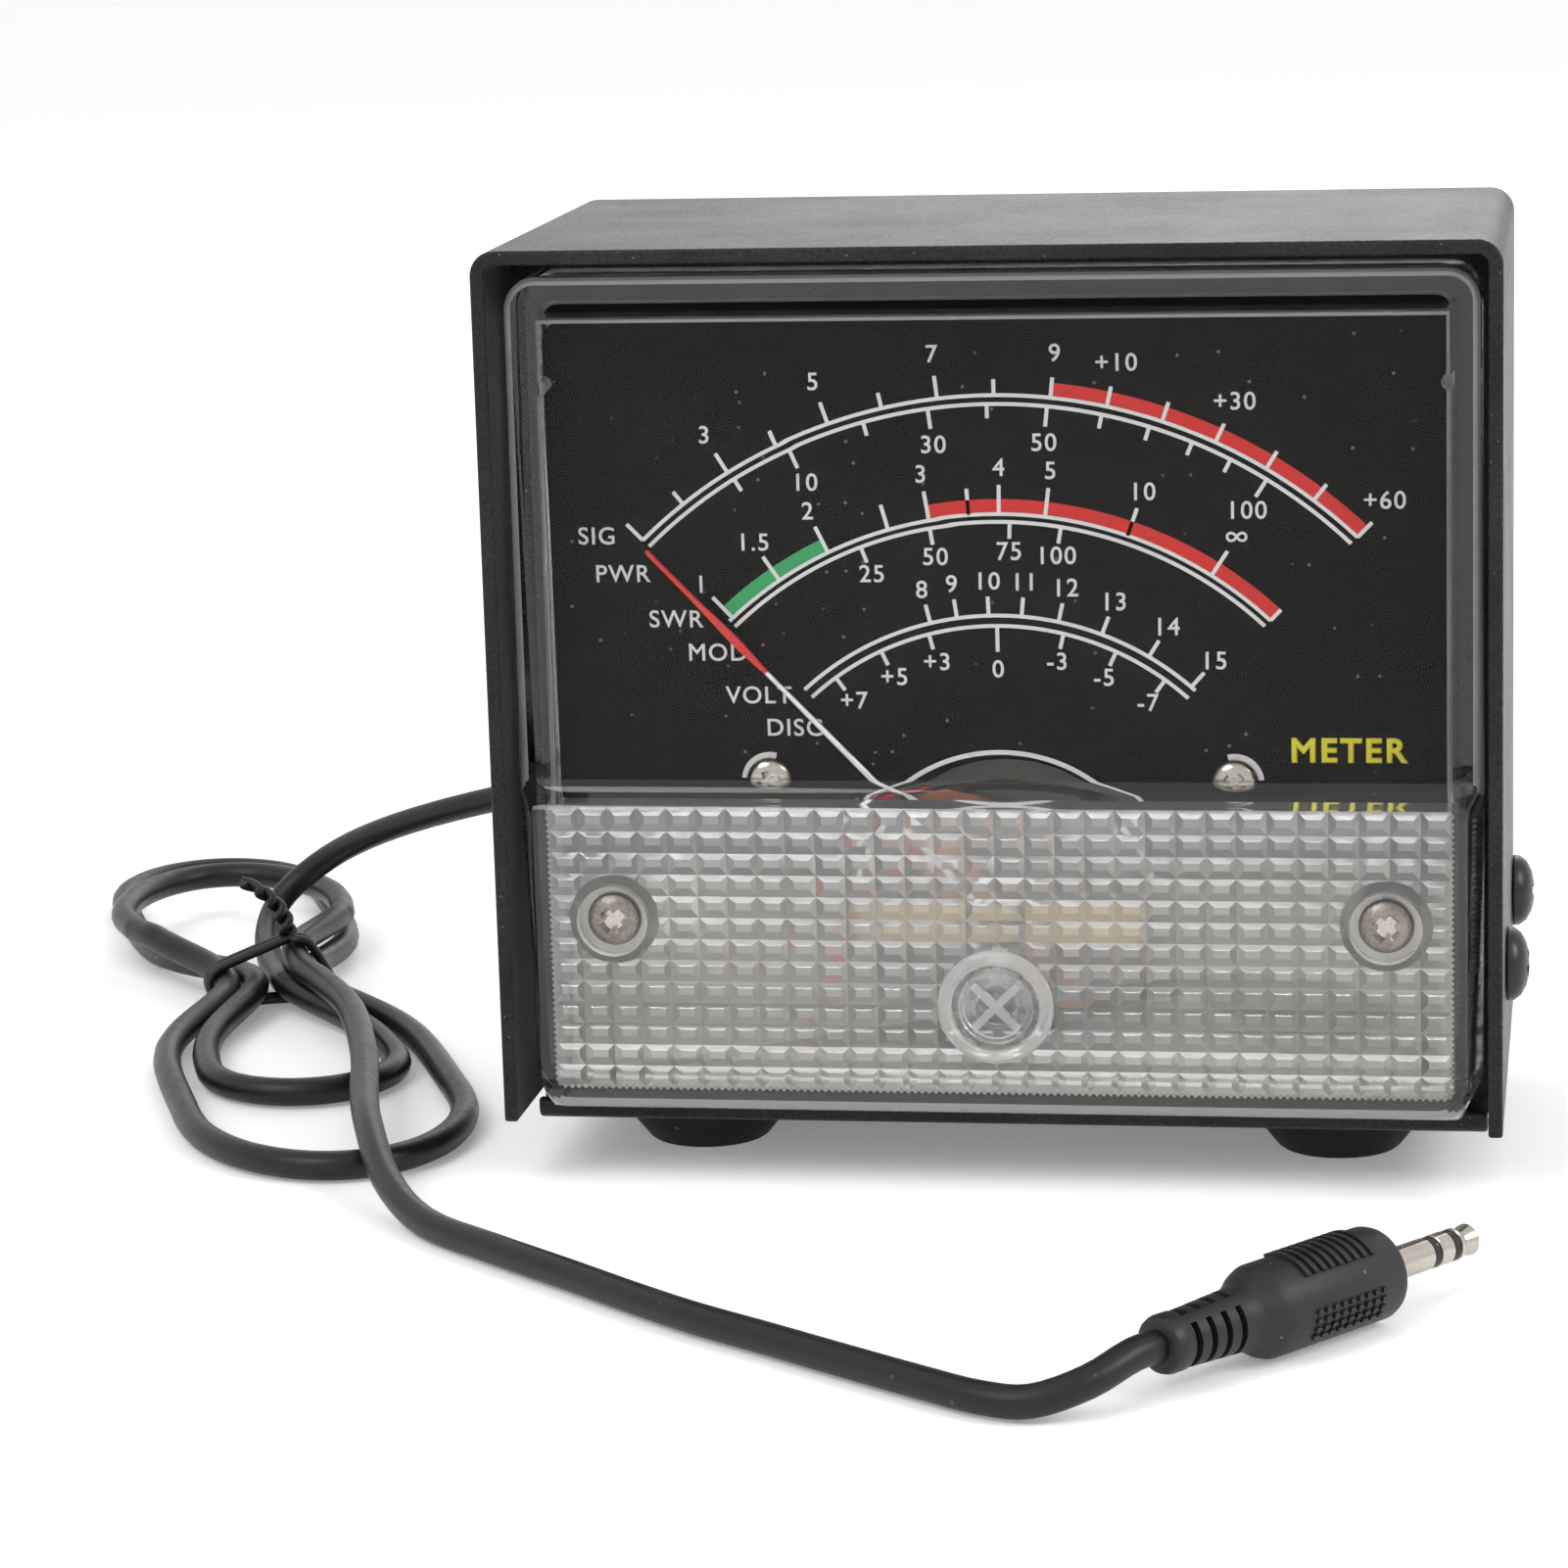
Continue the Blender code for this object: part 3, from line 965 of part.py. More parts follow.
# Plug: moulded body with its strain relief, then sleeve, ring and tip between two insulators
plug = add_empty("plug_axis", plug_start)
plug.rotation_euler = (0.0, 0.0, PLUG_TURN - math.pi / 2)
body_start = PLUG_RELIEF_LENGTH + PLUG_CONE_LENGTH
body_end = body_start + PLUG_BODY_LENGTH
moulding = turned([(0.0, 0.0), (PLUG_COLLAR_RADIUS, 0.0), (PLUG_COLLAR_RADIUS, PLUG_COLLAR_LENGTH),
                   (PLUG_RELIEF_THROAT, PLUG_COLLAR_LENGTH), (PLUG_RELIEF_RADIUS, PLUG_RELIEF_LENGTH),
                   (PLUG_BODY_RADIUS, body_start), (PLUG_BODY_RADIUS, body_end), (0.0, body_end)])
add_object("plug_body", moulding, black_mould, parent=plug)
place = body_end + FIT
for name, length, look in (("plug_sleeve", PLUG_SLEEVE_LENGTH, nickel),
                           ("plug_insulator_rear", PLUG_WASHER_LENGTH, black_nylon),
                           ("plug_ring", PLUG_RING_LENGTH, nickel),
                           ("plug_insulator_front", PLUG_WASHER_LENGTH, black_nylon)):
    add_object(name, rod(PLUG_SHAFT, place, place + length), look, parent=plug)
    place += length + FIT
tip_end = place + PLUG_TIP_LENGTH
tip = turned([(0.0, place), (PLUG_SHAFT, place), (PLUG_TIP_NECK, place + PLUG_TIP_NECK_AT),
              (PLUG_SHAFT, place + PLUG_TIP_BULGE_AT), (PLUG_TIP_END, tip_end), (0.0, tip_end)], SMALL_STEPS)
add_object("plug_tip", tip, nickel, parent=plug)
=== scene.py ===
import math

import bmesh
import bpy
from mathutils import Matrix, Vector


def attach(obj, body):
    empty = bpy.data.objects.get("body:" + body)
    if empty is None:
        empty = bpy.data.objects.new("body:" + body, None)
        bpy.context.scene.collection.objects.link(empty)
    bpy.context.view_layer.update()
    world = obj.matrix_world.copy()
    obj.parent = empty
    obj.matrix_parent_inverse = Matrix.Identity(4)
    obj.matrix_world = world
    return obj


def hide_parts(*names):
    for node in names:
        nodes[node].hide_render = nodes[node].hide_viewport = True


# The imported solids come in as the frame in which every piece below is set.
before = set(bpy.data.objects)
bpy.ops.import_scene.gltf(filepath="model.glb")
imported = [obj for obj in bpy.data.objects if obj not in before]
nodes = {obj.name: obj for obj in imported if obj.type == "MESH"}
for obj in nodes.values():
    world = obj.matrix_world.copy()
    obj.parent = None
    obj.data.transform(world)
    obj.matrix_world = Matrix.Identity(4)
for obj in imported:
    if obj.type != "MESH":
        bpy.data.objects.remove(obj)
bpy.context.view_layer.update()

# The view is the photo's: from the front, a little to the right and above, through a long lens.
# A pale floor takes the contact shadows, and a broad sky with three large lamps lights the part softly.
CAMERA_PLACE = Vector((0.0682, -0.5700, 0.1644))
CAMERA_AZIMUTH = math.radians(9.6)
CAMERA_ELEVATION = math.radians(12.0)
CAMERA_ROLL = math.radians(-1.7)
CAMERA_LENS = 114.2
FLOOR_HALF = 6.0
FLOOR_DROP = 0.0001
FLOOR_COLOUR = (0.95, 0.95, 0.95, 1.0)
FLOOR_ROUGH = 0.9
FLOOR_GLOW = 0.22
SKY_COLOUR = (1.0, 0.99, 0.98, 1.0)
SKY_STRENGTH = 0.80
SKY_FADE = (("From Min", -0.2), ("From Max", 0.8), ("To Min", 0.8), ("To Max", 1.0))
LAMP_TARGET = Vector((0.0, 0.0, 0.05))
LAMPS = (
    ("key_lamp", Vector((-0.55, -0.75, 0.95)), 0.7, 5.0),
    ("side_lamp", Vector((0.95, -0.25, 0.75)), 0.6, 5.5),
    ("rear_lamp", Vector((0.06, 1.10, 0.60)), 0.8, 2.0),
)


def add_node(tree, kind, values=(), **settings):
    """A shader node with its settings, and values on sockets that nothing is joined to."""
    node = tree.nodes.new(kind)
    for setting, choice in settings.items():
        setattr(node, setting, choice)
    for socket, value in values:
        node.inputs[socket].default_value = value
    return node


def join_nodes(tree, *rows):
    """Links, each from an output of one node to an input of another."""
    for source, output, target, socket in rows:
        tree.links.new(source.outputs[output], target.inputs[socket])


def principled(name, *values):
    """A material with values on its shader's sockets, given with its node tree and shader."""
    material = bpy.data.materials.new(name)
    material.use_nodes = True
    shader = material.node_tree.nodes["Principled BSDF"]
    for socket, value in values:
        shader.inputs[socket].default_value = value
    return material, material.node_tree, shader


def background_mask(tree):
    """A node that gives one to rays that meet the background straight, mirrored or through clear plastic."""
    path = add_node(tree, "ShaderNodeLightPath")
    mirrored = add_node(tree, "ShaderNodeMath", operation="MAXIMUM")
    mask = add_node(tree, "ShaderNodeMath", operation="MAXIMUM")
    join_nodes(
        tree,
        (path, "Is Camera Ray", mirrored, 0),
        (path, "Is Glossy Ray", mirrored, 1),
        (mirrored, "Value", mask, 0),
        (path, "Is Transmission Ray", mask, 1),
    )
    return mask


scene = bpy.context.scene
scene.view_settings.view_transform = "Standard"
back = Vector((
    math.sin(CAMERA_AZIMUTH) * math.cos(CAMERA_ELEVATION),
    -math.cos(CAMERA_AZIMUTH) * math.cos(CAMERA_ELEVATION),
    math.sin(CAMERA_ELEVATION),
))
level = (-back).cross(Vector((0.0, 0.0, 1.0))).normalized()
upright = level.cross(-back)
right = level * math.cos(CAMERA_ROLL) + upright * math.sin(CAMERA_ROLL)
up = upright * math.cos(CAMERA_ROLL) - level * math.sin(CAMERA_ROLL)
camera_data = bpy.data.cameras.new("camera")
camera_data.lens = CAMERA_LENS
camera = bpy.data.objects.new("camera", camera_data)
camera.matrix_world = Matrix.Translation(CAMERA_PLACE) @ Matrix((right, up, back)).transposed().to_4x4()
scene.collection.objects.link(camera)
scene.camera = camera

sky = bpy.data.worlds.new("sky")
sky.use_nodes = True
scene.world = sky
sky_tree = sky.node_tree
sky_shader = sky_tree.nodes["Background"]
sky_shader.inputs["Color"].default_value = SKY_COLOUR
direction = add_node(sky_tree, "ShaderNodeTexCoord")
parts = add_node(sky_tree, "ShaderNodeSeparateXYZ")
height = add_node(sky_tree, "ShaderNodeMapRange", SKY_FADE)
sky_light = add_node(sky_tree, "ShaderNodeMath", ((1, SKY_STRENGTH),), operation="MULTIPLY")
sky_seen = add_node(sky_tree, "ShaderNodeMath", operation="MAXIMUM")
join_nodes(
    sky_tree,
    (direction, "Generated", parts, 0),
    (parts, "Z", height, "Value"),
    (height, "Result", sky_light, 0),
    (sky_light, "Value", sky_seen, 0),
    (background_mask(sky_tree), "Value", sky_seen, 1),
    (sky_seen, "Value", sky_shader, "Strength"),
)

for lamp_name, lamp_place, lamp_size, lamp_power in LAMPS:
    lamp_data = bpy.data.lights.new(lamp_name, "AREA")
    lamp_data.shape = "DISK"
    lamp_data.size = lamp_size
    lamp_data.energy = lamp_power
    lamp = bpy.data.objects.new(lamp_name, lamp_data)
    lamp_turn = (LAMP_TARGET - lamp_place).to_track_quat("-Z", "Y").to_matrix().to_4x4()
    lamp.matrix_world = Matrix.Translation(lamp_place) @ lamp_turn
    scene.collection.objects.link(lamp)

floor_shape = bmesh.new()
bmesh.ops.create_grid(floor_shape, x_segments=1, y_segments=1, size=FLOOR_HALF)
bmesh.ops.translate(floor_shape, verts=floor_shape.verts, vec=(0.0, 0.0, -FLOOR_DROP))
floor_mesh = bpy.data.meshes.new("floor")
floor_shape.to_mesh(floor_mesh)
floor_shape.free()
floor_paper, paper_tree, paper_shader = principled(
    "floor_paper", ("Base Color", FLOOR_COLOUR), ("Roughness", FLOOR_ROUGH), ("Emission Color", FLOOR_COLOUR))
paper_glow = add_node(paper_tree, "ShaderNodeMath", ((1, FLOOR_GLOW),), operation="MULTIPLY")
join_nodes(
    paper_tree,
    (background_mask(paper_tree), "Value", paper_glow, 0),
    (paper_glow, "Value", paper_shader, "Emission Strength"),
)
floor_mesh.materials.append(floor_paper)
floor = bpy.data.objects.new("floor", floor_mesh)
scene.collection.objects.link(floor)

# The case is a chassis of folded sheet and a U-shaped cover over it, both in black powder coat.
# Each is flats with bent corners, drawn out and given the sheet's thickness. The chassis keeps its solid,
# and the lip of its floor is turned up in front, below the window.
COVER_HALF = 0.0570
COVER_FRONT = -0.0300
COVER_BACK = 0.0300
COVER_TOP = 0.1083
COVER_SKIRT = 0.0079
COVER_SHEET = 0.0016
COVER_BEND = 0.0028
LIP_HALF = 0.0551
LIP_BACK = -0.0160
LIP_FRONT = -0.0200
LIP_BOTTOM = 0.0055
LIP_TOP = 0.0080
LIP_SHEET = 0.0012
LIP_BEND = 0.0013
BEND_STEPS = 10
SHEET_EDGE = 0.00035
SHEET_CRISP = 40.0
COAT_COLOUR = (0.008, 0.008, 0.008)
COAT_WORN = (0.030, 0.0296, 0.0292)
COAT_SHEEN = 0.08
COAT_SHEEN_ROUGH = 0.35
# The colour of the light specks: dust on most looks, painted glints on the powder coat.
DUST_AND_GLINT_COLOUR = (0.30, 0.29, 0.28, 1.0)
GRAIN_COLOURS = ("Colour", "Worn")
GRAIN_INPUTS = ("Colour", "Worn", "Scale", "Rough", "Spread", "Dust_and_glint", "Speck")
GRAIN_OUTPUTS = ("Colour", "Rough", "Height")
GRAIN_HEIGHT = 0.0002
STAIN_RANGE = (("From Min", 0.12), ("From Max", 0.42))
SPECK_RANGE = (("From Min", 0.05), ("From Max", 0.11), ("To Min", 1.0), ("To Max", 0.0))
SPECK_SHARE = 0.62


def grain_nodes():
    """A shared mottle for solid surfaces: a broad stain, a fine grain and light specks, in object space; the
    specks are dust on most looks and painted glints on the powder coat.
    """
    group = bpy.data.node_groups.new("surface_grain", "ShaderNodeTree")
    for way, labels in (("INPUT", GRAIN_INPUTS), ("OUTPUT", GRAIN_OUTPUTS)):
        for label in labels:
            kind = "NodeSocketColor" if label in GRAIN_COLOURS else "NodeSocketFloat"
            group.interface.new_socket(label, in_out=way, socket_type=kind)
    given = add_node(group, "NodeGroupInput")
    result = add_node(group, "NodeGroupOutput")
    place = add_node(group, "ShaderNodeTexCoord")
    fine = add_node(group, "ShaderNodeTexNoise", (("Detail", 3.0),))
    broad = add_node(group, "ShaderNodeTexNoise", (("Scale", 70.0), ("Detail", 5.0)))
    stain = add_node(group, "ShaderNodeMath", operation="MULTIPLY")
    mottle = add_node(group, "ShaderNodeMapRange", STAIN_RANGE)
    blend = add_node(group, "ShaderNodeMix", data_type="RGBA")
    swing = add_node(group, "ShaderNodeMath", operation="MULTIPLY_ADD")
    specks = add_node(group, "ShaderNodeTexVoronoi")
    speck_size = add_node(group, "ShaderNodeMapRange", SPECK_RANGE)
    speck_choice = add_node(group, "ShaderNodeMath", ((1, SPECK_SHARE),), operation="GREATER_THAN")
    speck_mask = add_node(group, "ShaderNodeMath", operation="MULTIPLY")
    dust_and_glint_mask = add_node(group, "ShaderNodeMath", operation="MULTIPLY")
    dust_and_glint_specked = add_node(group, "ShaderNodeMix", (("B", DUST_AND_GLINT_COLOUR),), data_type="RGBA")
    join_nodes(
        group,
        (place, "Object", specks, "Vector"),
        (given, "Speck", specks, "Scale"),
        (specks, "Distance", speck_size, "Value"),
        (specks, "Color", speck_choice, 0),
        (speck_size, "Result", speck_mask, 0),
        (speck_choice, "Value", speck_mask, 1),
        (speck_mask, "Value", dust_and_glint_mask, 0),
        (given, "Dust_and_glint", dust_and_glint_mask, 1),
        (dust_and_glint_mask, "Value", dust_and_glint_specked, "Factor"),
        (place, "Object", fine, "Vector"),
        (place, "Object", broad, "Vector"),
        (given, "Scale", fine, "Scale"),
        (fine, "Fac", stain, 0),
        (broad, "Fac", stain, 1),
        (stain, "Value", mottle, "Value"),
        (mottle, "Result", blend, "Factor"),
        (given, "Colour", blend, "A"),
        (given, "Worn", blend, "B"),
        (mottle, "Result", swing, 0),
        (given, "Spread", swing, 1),
        (given, "Rough", swing, 2),
        (blend, "Result", dust_and_glint_specked, "A"),
        (dust_and_glint_specked, "Result", result, "Colour"),
        (swing, "Value", result, "Rough"),
        (fine, "Fac", result, "Height"),
    )
    return group


surface_grain = grain_nodes()


def grained(name, colour, worn, scale, rough, spread, bump, metallic=0.0, shine=0.5, dust_and_glint=0.0, speck=400.0):
    """A material with the shared mottle in its colour, roughness and relief."""
    material, tree, shader = principled(name, ("Metallic", metallic), ("Specular IOR Level", shine))
    mottle = zip(GRAIN_INPUTS, ((*colour, 1.0), (*worn, 1.0), scale, rough, spread, dust_and_glint, speck))
    grain = add_node(tree, "ShaderNodeGroup", mottle, node_tree=surface_grain)
    relief = add_node(tree, "ShaderNodeBump", (("Strength", bump), ("Distance", GRAIN_HEIGHT)))
    join_nodes(
        tree,
        (grain, "Colour", shader, "Base Color"),
        (grain, "Rough", shader, "Roughness"),
        (grain, "Height", relief, "Height"),
        (relief, "Normal", shader, "Normal"),
    )
    return material


def dress(piece, replaced, body):
    """Set a piece in the scene on its body and the solids that it stands for."""
    scene.collection.objects.link(piece)
    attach(piece, body)
    if replaced:
        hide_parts(*replaced)
    return piece


def make_piece(name, shape, look, slot, *replaced, body="case"):
    """A finished mesh that rides a body and stands for the given solids."""
    mesh = bpy.data.meshes.new(name)
    shape.to_mesh(mesh)
    shape.free()
    mesh.materials.append(look)
    return dress(bpy.data.objects.new(name, mesh), replaced, body)


def soften(piece, degrees):
    """Smooth shading, with the edges sharper than an angle kept crisp."""
    piece.data.shade_smooth()
    piece.data.set_sharp_from_angle(angle=math.radians(degrees))


def round_edges(piece, width, segments):
    """A live bevel on the sharp edges."""
    change = piece.modifiers.new("edges", "BEVEL")
    change.width = width
    change.segments = segments
    change.limit_method = "ANGLE"
    change.angle_limit = math.radians(SHEET_CRISP)


def bevel(shape, lines, width, segments, look=-1):
    """Round the given lines of a shape, in the look of the faces beside them or in another."""
    bmesh.ops.bevel(
        shape, geom=lines, affect="EDGES", offset=width, segments=segments, profile=0.5, material=look)


def move_new(shape, made, move):
    """Shift the corners that an extrusion has just made."""
    corners = [item for item in made["geom"] if isinstance(item, bmesh.types.BMVert)]
    bmesh.ops.translate(shape, verts=corners, vec=move)


def sheet_piece(name, corners, draw, bend, sheet, *replaced):
    """Coated sheet bent at a line of corners and drawn out, with round bends and its own thickness."""
    shape = bmesh.new()
    points = [shape.verts.new(corner) for corner in corners]
    lines = [shape.edges.new(pair) for pair in zip(points, points[1:])]
    move_new(shape, bmesh.ops.extrude_edge_only(shape, edges=lines), draw)
    bevel(shape, [edge for edge in shape.edges if len(edge.link_faces) == 2], bend, BEND_STEPS)
    bmesh.ops.recalc_face_normals(shape, faces=shape.faces)
    bmesh.ops.solidify(shape, geom=shape.faces[:], thickness=sheet)
    bmesh.ops.recalc_face_normals(shape, faces=shape.faces)
    piece = make_piece(name, shape, powder_coat, "powder_coat", *replaced)
    soften(piece, SHEET_CRISP)
    round_edges(piece, SHEET_EDGE, 3)


# On the powder coat the light specks of the shared mottle are painted glints, not dust.
powder_coat = grained(
    "powder_coat", COAT_COLOUR, COAT_WORN,
    scale=2100.0, rough=0.30, spread=0.14, bump=1.0, shine=0.16, dust_and_glint=0.6, speck=900.0)
coat_shader = powder_coat.node_tree.nodes["Principled BSDF"]
coat_shader.inputs["Sheen Weight"].default_value = COAT_SHEEN
coat_shader.inputs["Sheen Roughness"].default_value = COAT_SHEEN_ROUGH
nodes["chassis"].data.materials[0] = powder_coat
sheet_piece(
    "cover_shell",
    (
        (-COVER_HALF, COVER_FRONT, COVER_SKIRT),
        (-COVER_HALF, COVER_FRONT, COVER_TOP),
        (COVER_HALF, COVER_FRONT, COVER_TOP),
        (COVER_HALF, COVER_FRONT, COVER_SKIRT),
    ),
    (0.0, COVER_BACK - COVER_FRONT, 0.0),
    COVER_BEND,
    COVER_SHEET,
    "top_cover",
)
sheet_piece(
    "floor_lip",
    (
        (-LIP_HALF, LIP_BACK, LIP_BOTTOM),
        (-LIP_HALF, LIP_FRONT, LIP_BOTTOM),
        (-LIP_HALF, LIP_FRONT, LIP_TOP),
    ),
    (LIP_HALF * 2, 0.0, 0.0),
    LIP_BEND,
    LIP_SHEET,
)

# Four black pan-head screws hold the cover's skirts, each turned with a domed head and a cross recess.
# The rubber feet are turned cones with a rounded rim and a hollow for their fixing on the underside.
SIDE_SCREW_X = 0.0571
SIDE_SCREW_Z = 0.0237
SIDE_SCREW_ROWS = (-0.0125, 0.0240)
SIDE_SCREW_PROFILE = (
    (0.0, -0.0038), (0.0014, -0.0038), (0.0014, 0.0), (0.0042, 0.0), (0.0043, 0.0002),
    (0.0042, 0.0008), (0.0036, 0.0016), (0.0025, 0.0022), (0.0012, 0.0025), (0.0, 0.00255),
)
SIDE_RECESS = (0.0052, 0.0011, 0.0016)
SIDE_SCREW_TURN = 0.4
RECESS_TAPER = 0.55
SCREW_STEPS = 40
FOOT_X = 0.0375
FOOT_ROWS = (-0.0050, 0.0175)
FOOT_PROFILE = (
    (0.0, 0.0012), (0.0036, 0.0012), (0.0038, 0.0002), (0.0041, 0.0), (0.0069, 0.0), (0.0073, 0.0003),
    (0.0102, 0.0040), (0.01035, 0.0044), (0.01035, 0.0050), (0.0101, 0.0053), (0.0, 0.0053),
)
FOOT_STEPS = 56
TURNED_WELD = 0.000002
TURNED_CRISP = 35.0
STEEL_BLACK = (0.008, 0.008, 0.008)
STEEL_WORN = (0.016, 0.016, 0.016)
RUBBER_BLACK = (0.006, 0.006, 0.006)
RUBBER_WORN = (0.014, 0.0135, 0.013)


def turned(profile, place, axis, steps):
    """A closed body turned about an axis: the profile's rows are radius and distance along it."""
    shape = bmesh.new()
    heading = Vector(axis).normalized()
    outward = heading.orthogonal().normalized()
    points = [shape.verts.new(Vector(place) + outward * row[0] + heading * row[1]) for row in profile]
    lines = [shape.edges.new(pair) for pair in zip(points, points[1:])]
    bmesh.ops.spin(
        shape, geom=points + lines, cent=place, axis=heading, angle=math.tau, steps=steps, use_merge=True)
    bmesh.ops.remove_doubles(shape, verts=shape.verts, dist=TURNED_WELD)
    bmesh.ops.recalc_face_normals(shape, faces=shape.faces)
    return shape


def turned_piece(name, profile, place, axis, steps, look, slot, *replaced, body="case"):
    """A turned body as a finished piece."""
    piece = make_piece(name, turned(profile, place, axis, steps), look, slot, *replaced, body=body)
    soften(piece, TURNED_CRISP)
    return piece


def carve(piece, cutter, operation):
    """Cut a tool shape from a piece, or join it on, and keep the result as the piece's mesh."""
    mesh = bpy.data.meshes.new("tool")
    cutter.to_mesh(mesh)
    cutter.free()
    tool = bpy.data.objects.new("tool", mesh)
    scene.collection.objects.link(tool)
    change = piece.modifiers.new("cut", "BOOLEAN")
    change.object = tool
    change.operation = operation
    change.solver = "EXACT"
    change.use_self = True
    graph = bpy.context.evaluated_depsgraph_get()
    result = bpy.data.meshes.new_from_object(piece.evaluated_get(graph))
    piece.modifiers.remove(change)
    plain = piece.data
    piece.data = result
    bpy.data.objects.remove(tool)
    bpy.data.meshes.remove(mesh)
    bpy.data.meshes.remove(plain)


def paint(faces, look):
    """Give faces one of their piece's looks, by its number."""
    for face in faces:
        face.material_index = look


def cross_tool(place, axis, turn, size):
    """Two crossed bars whose length, width and depth cut a cross recess into a screw's head."""
    shape = bmesh.new()
    aim = Vector(axis).normalized().to_track_quat("Z", "Y").to_matrix().to_4x4()
    length, width, depth_of_cut = size
    for quarter in (0.0, math.pi / 2):
        bar = bmesh.ops.create_cube(shape, size=1.0)["verts"]
        bmesh.ops.scale(shape, verts=bar, vec=(length, width, depth_of_cut * 2))
        for corner in bar:
            if corner.co.z < 0:
                corner.co.x *= RECESS_TAPER
        frame_of_bar = Matrix.Translation(Vector(place)) @ aim @ Matrix.Rotation(turn + quarter, 4, "Z")
        bmesh.ops.transform(shape, verts=bar, matrix=frame_of_bar)
    return shape


def pan_screw(name, profile, place, axis, turn, recess, slot, replaced, look, recess_look=None):
    """A turned screw with a cross recess in its head, which may have a look of its own."""
    screw = make_piece(name, turned(profile, place, axis, SCREW_STEPS), look, slot, replaced)
    tool = cross_tool(Vector(place) + Vector(axis) * profile[-1][1], axis, turn, recess)
    if recess_look:
        screw.data.materials.append(recess_look)
        paint(tool.faces, 1)
    carve(screw, tool, "DIFFERENCE")
    soften(screw, TURNED_CRISP)


black_steel = grained(
    "black_steel", STEEL_BLACK, STEEL_WORN, scale=1500.0, rough=0.26, spread=0.16, bump=0.10, shine=0.4)
foot_rubber = grained(
    "foot_rubber", RUBBER_BLACK, RUBBER_WORN,
    scale=900.0, rough=0.50, spread=0.15, bump=0.25, shine=0.25, dust_and_glint=0.4, speck=300.0)
corners_of_case = [(side, row) for side in (-1, 1) for row in range(2)]
for number, (side, row) in enumerate(corners_of_case, 1):
    pan_screw(
        "side_screw_%d" % number,
        SIDE_SCREW_PROFILE,
        (side * SIDE_SCREW_X, SIDE_SCREW_ROWS[row], SIDE_SCREW_Z),
        (side, 0.0, 0.0),
        SIDE_SCREW_TURN + number,
        SIDE_RECESS,
        "black_steel",
        "cover_screw_%d" % number,
        black_steel,
    )
    turned_piece(
        "rubber_foot_%d" % number,
        FOOT_PROFILE,
        (side * FOOT_X, FOOT_ROWS[row], 0.0),
        (0.0, 0.0, 1.0),
        FOOT_STEPS,
        foot_rubber,
        "foot_rubber",
        "foot_%d" % number,
    )

# The movement sits in a cream moulded tray: an iron yoke with its magnet core, brass bridges and a
# coil of enamelled copper wire. These solids are plain turned or stamped pieces and keep their shapes.
CREAM = (0.74, 0.70, 0.60)
CREAM_WORN = (0.68, 0.63, 0.52)
BRASS = (0.56, 0.41, 0.19)
BRASS_WORN = (0.40, 0.30, 0.15)
IRON = (0.13, 0.13, 0.13)
IRON_WORN = (0.19, 0.18, 0.17)
STEEL = (0.55, 0.55, 0.56)
STEEL_DULL = (0.42, 0.42, 0.42)
BRONZE = (0.60, 0.38, 0.17)
BRONZE_DULL = (0.45, 0.27, 0.12)
ALUMINIUM = (0.78, 0.78, 0.79)
ALUMINIUM_DULL = (0.64, 0.64, 0.65)
COPPER = (0.58, 0.24, 0.10)
COPPER_DARK = (0.30, 0.10, 0.04)
BRASS_NODES = (
    "front_bridge", "rear_bridge", "jewel_screw_front", "jewel_screw_rear",
    "terminal_stud_left", "terminal_stud_right", "terminal_nut_left", "terminal_nut_right",
)
MOVEMENT_LOOKS = (
    ("cream_plastic", CREAM, CREAM_WORN, 800.0, 0.42, 0.12, 0.10, 0.0, ("meter_base",)),
    ("brass", BRASS, BRASS_WORN, 1200.0, 0.28, 0.16, 0.08, 1.0, BRASS_NODES),
    ("iron", IRON, IRON_WORN, 900.0, 0.50, 0.20, 0.20, 0.6, ("yoke_ring", "core_magnet")),
    ("steel", STEEL, STEEL_DULL, 1500.0, 0.25, 0.15, 0.06, 1.0, ("staff_front", "staff_rear")),
    ("bronze", BRONZE, BRONZE_DULL, 1500.0, 0.30, 0.15, 0.06, 1.0, ("hairspring_front", "hairspring_rear")),
    ("copper", COPPER, COPPER_DARK, 2600.0, 0.35, 0.15, 0.35, 0.5, ("moving_coil",)),
    ("aluminium", ALUMINIUM, ALUMINIUM_DULL, 1500.0, 0.32, 0.15, 0.08, 1.0, ("zero_arm",)),
)
for look_name, colour, worn, scale, rough, spread, bump, metallic, node_names in MOVEMENT_LOOKS:
    look = grained(look_name, colour, worn, scale, rough, spread, bump, metallic)
    for node_name in node_names:
        nodes[node_name].data.materials[0] = look
aluminium = nodes["zero_arm"].data.materials[0]

# The dial is a satin black sheet with its scales printed on it, held by two nickel pan-head screws.
# Each printed line is a thin strip swept about the pivot, and the words are set as raised type.
# The scales' tables give each mark's angle and words, with the radii of the marks and of the words.
PIVOT = Vector((0.0, 0.0, 0.0309))
PRINT_Y = -0.01731
PRINT_RAISE = 0.0010
PRINT_THICKNESS = 0.00003
PRINT_WELD = 0.000001
PRINT_CENTRE = Vector((0.0, PRINT_Y, PIVOT.z + PRINT_RAISE))
CUT_CENTRE = Vector((0.0, PRINT_Y, PIVOT.z))
CUT_RIM = (0.0178, 0.01835, -70.0, 70.0)
HOLE_RIM = (0.0026, 0.0033)
HOLE_RIM_ENDS = (85.0, -15.0)
LINE_WIDTH = 0.00044
ARC_STEP = 1.5
DIAL_COLOUR = (0.0085, 0.0078, 0.0078)
DIAL_WORN = (0.013, 0.0118, 0.0118)
WHITE_INK = (0.90, 0.90, 0.90)
WHITE_INK_WORN = (0.84, 0.84, 0.84)
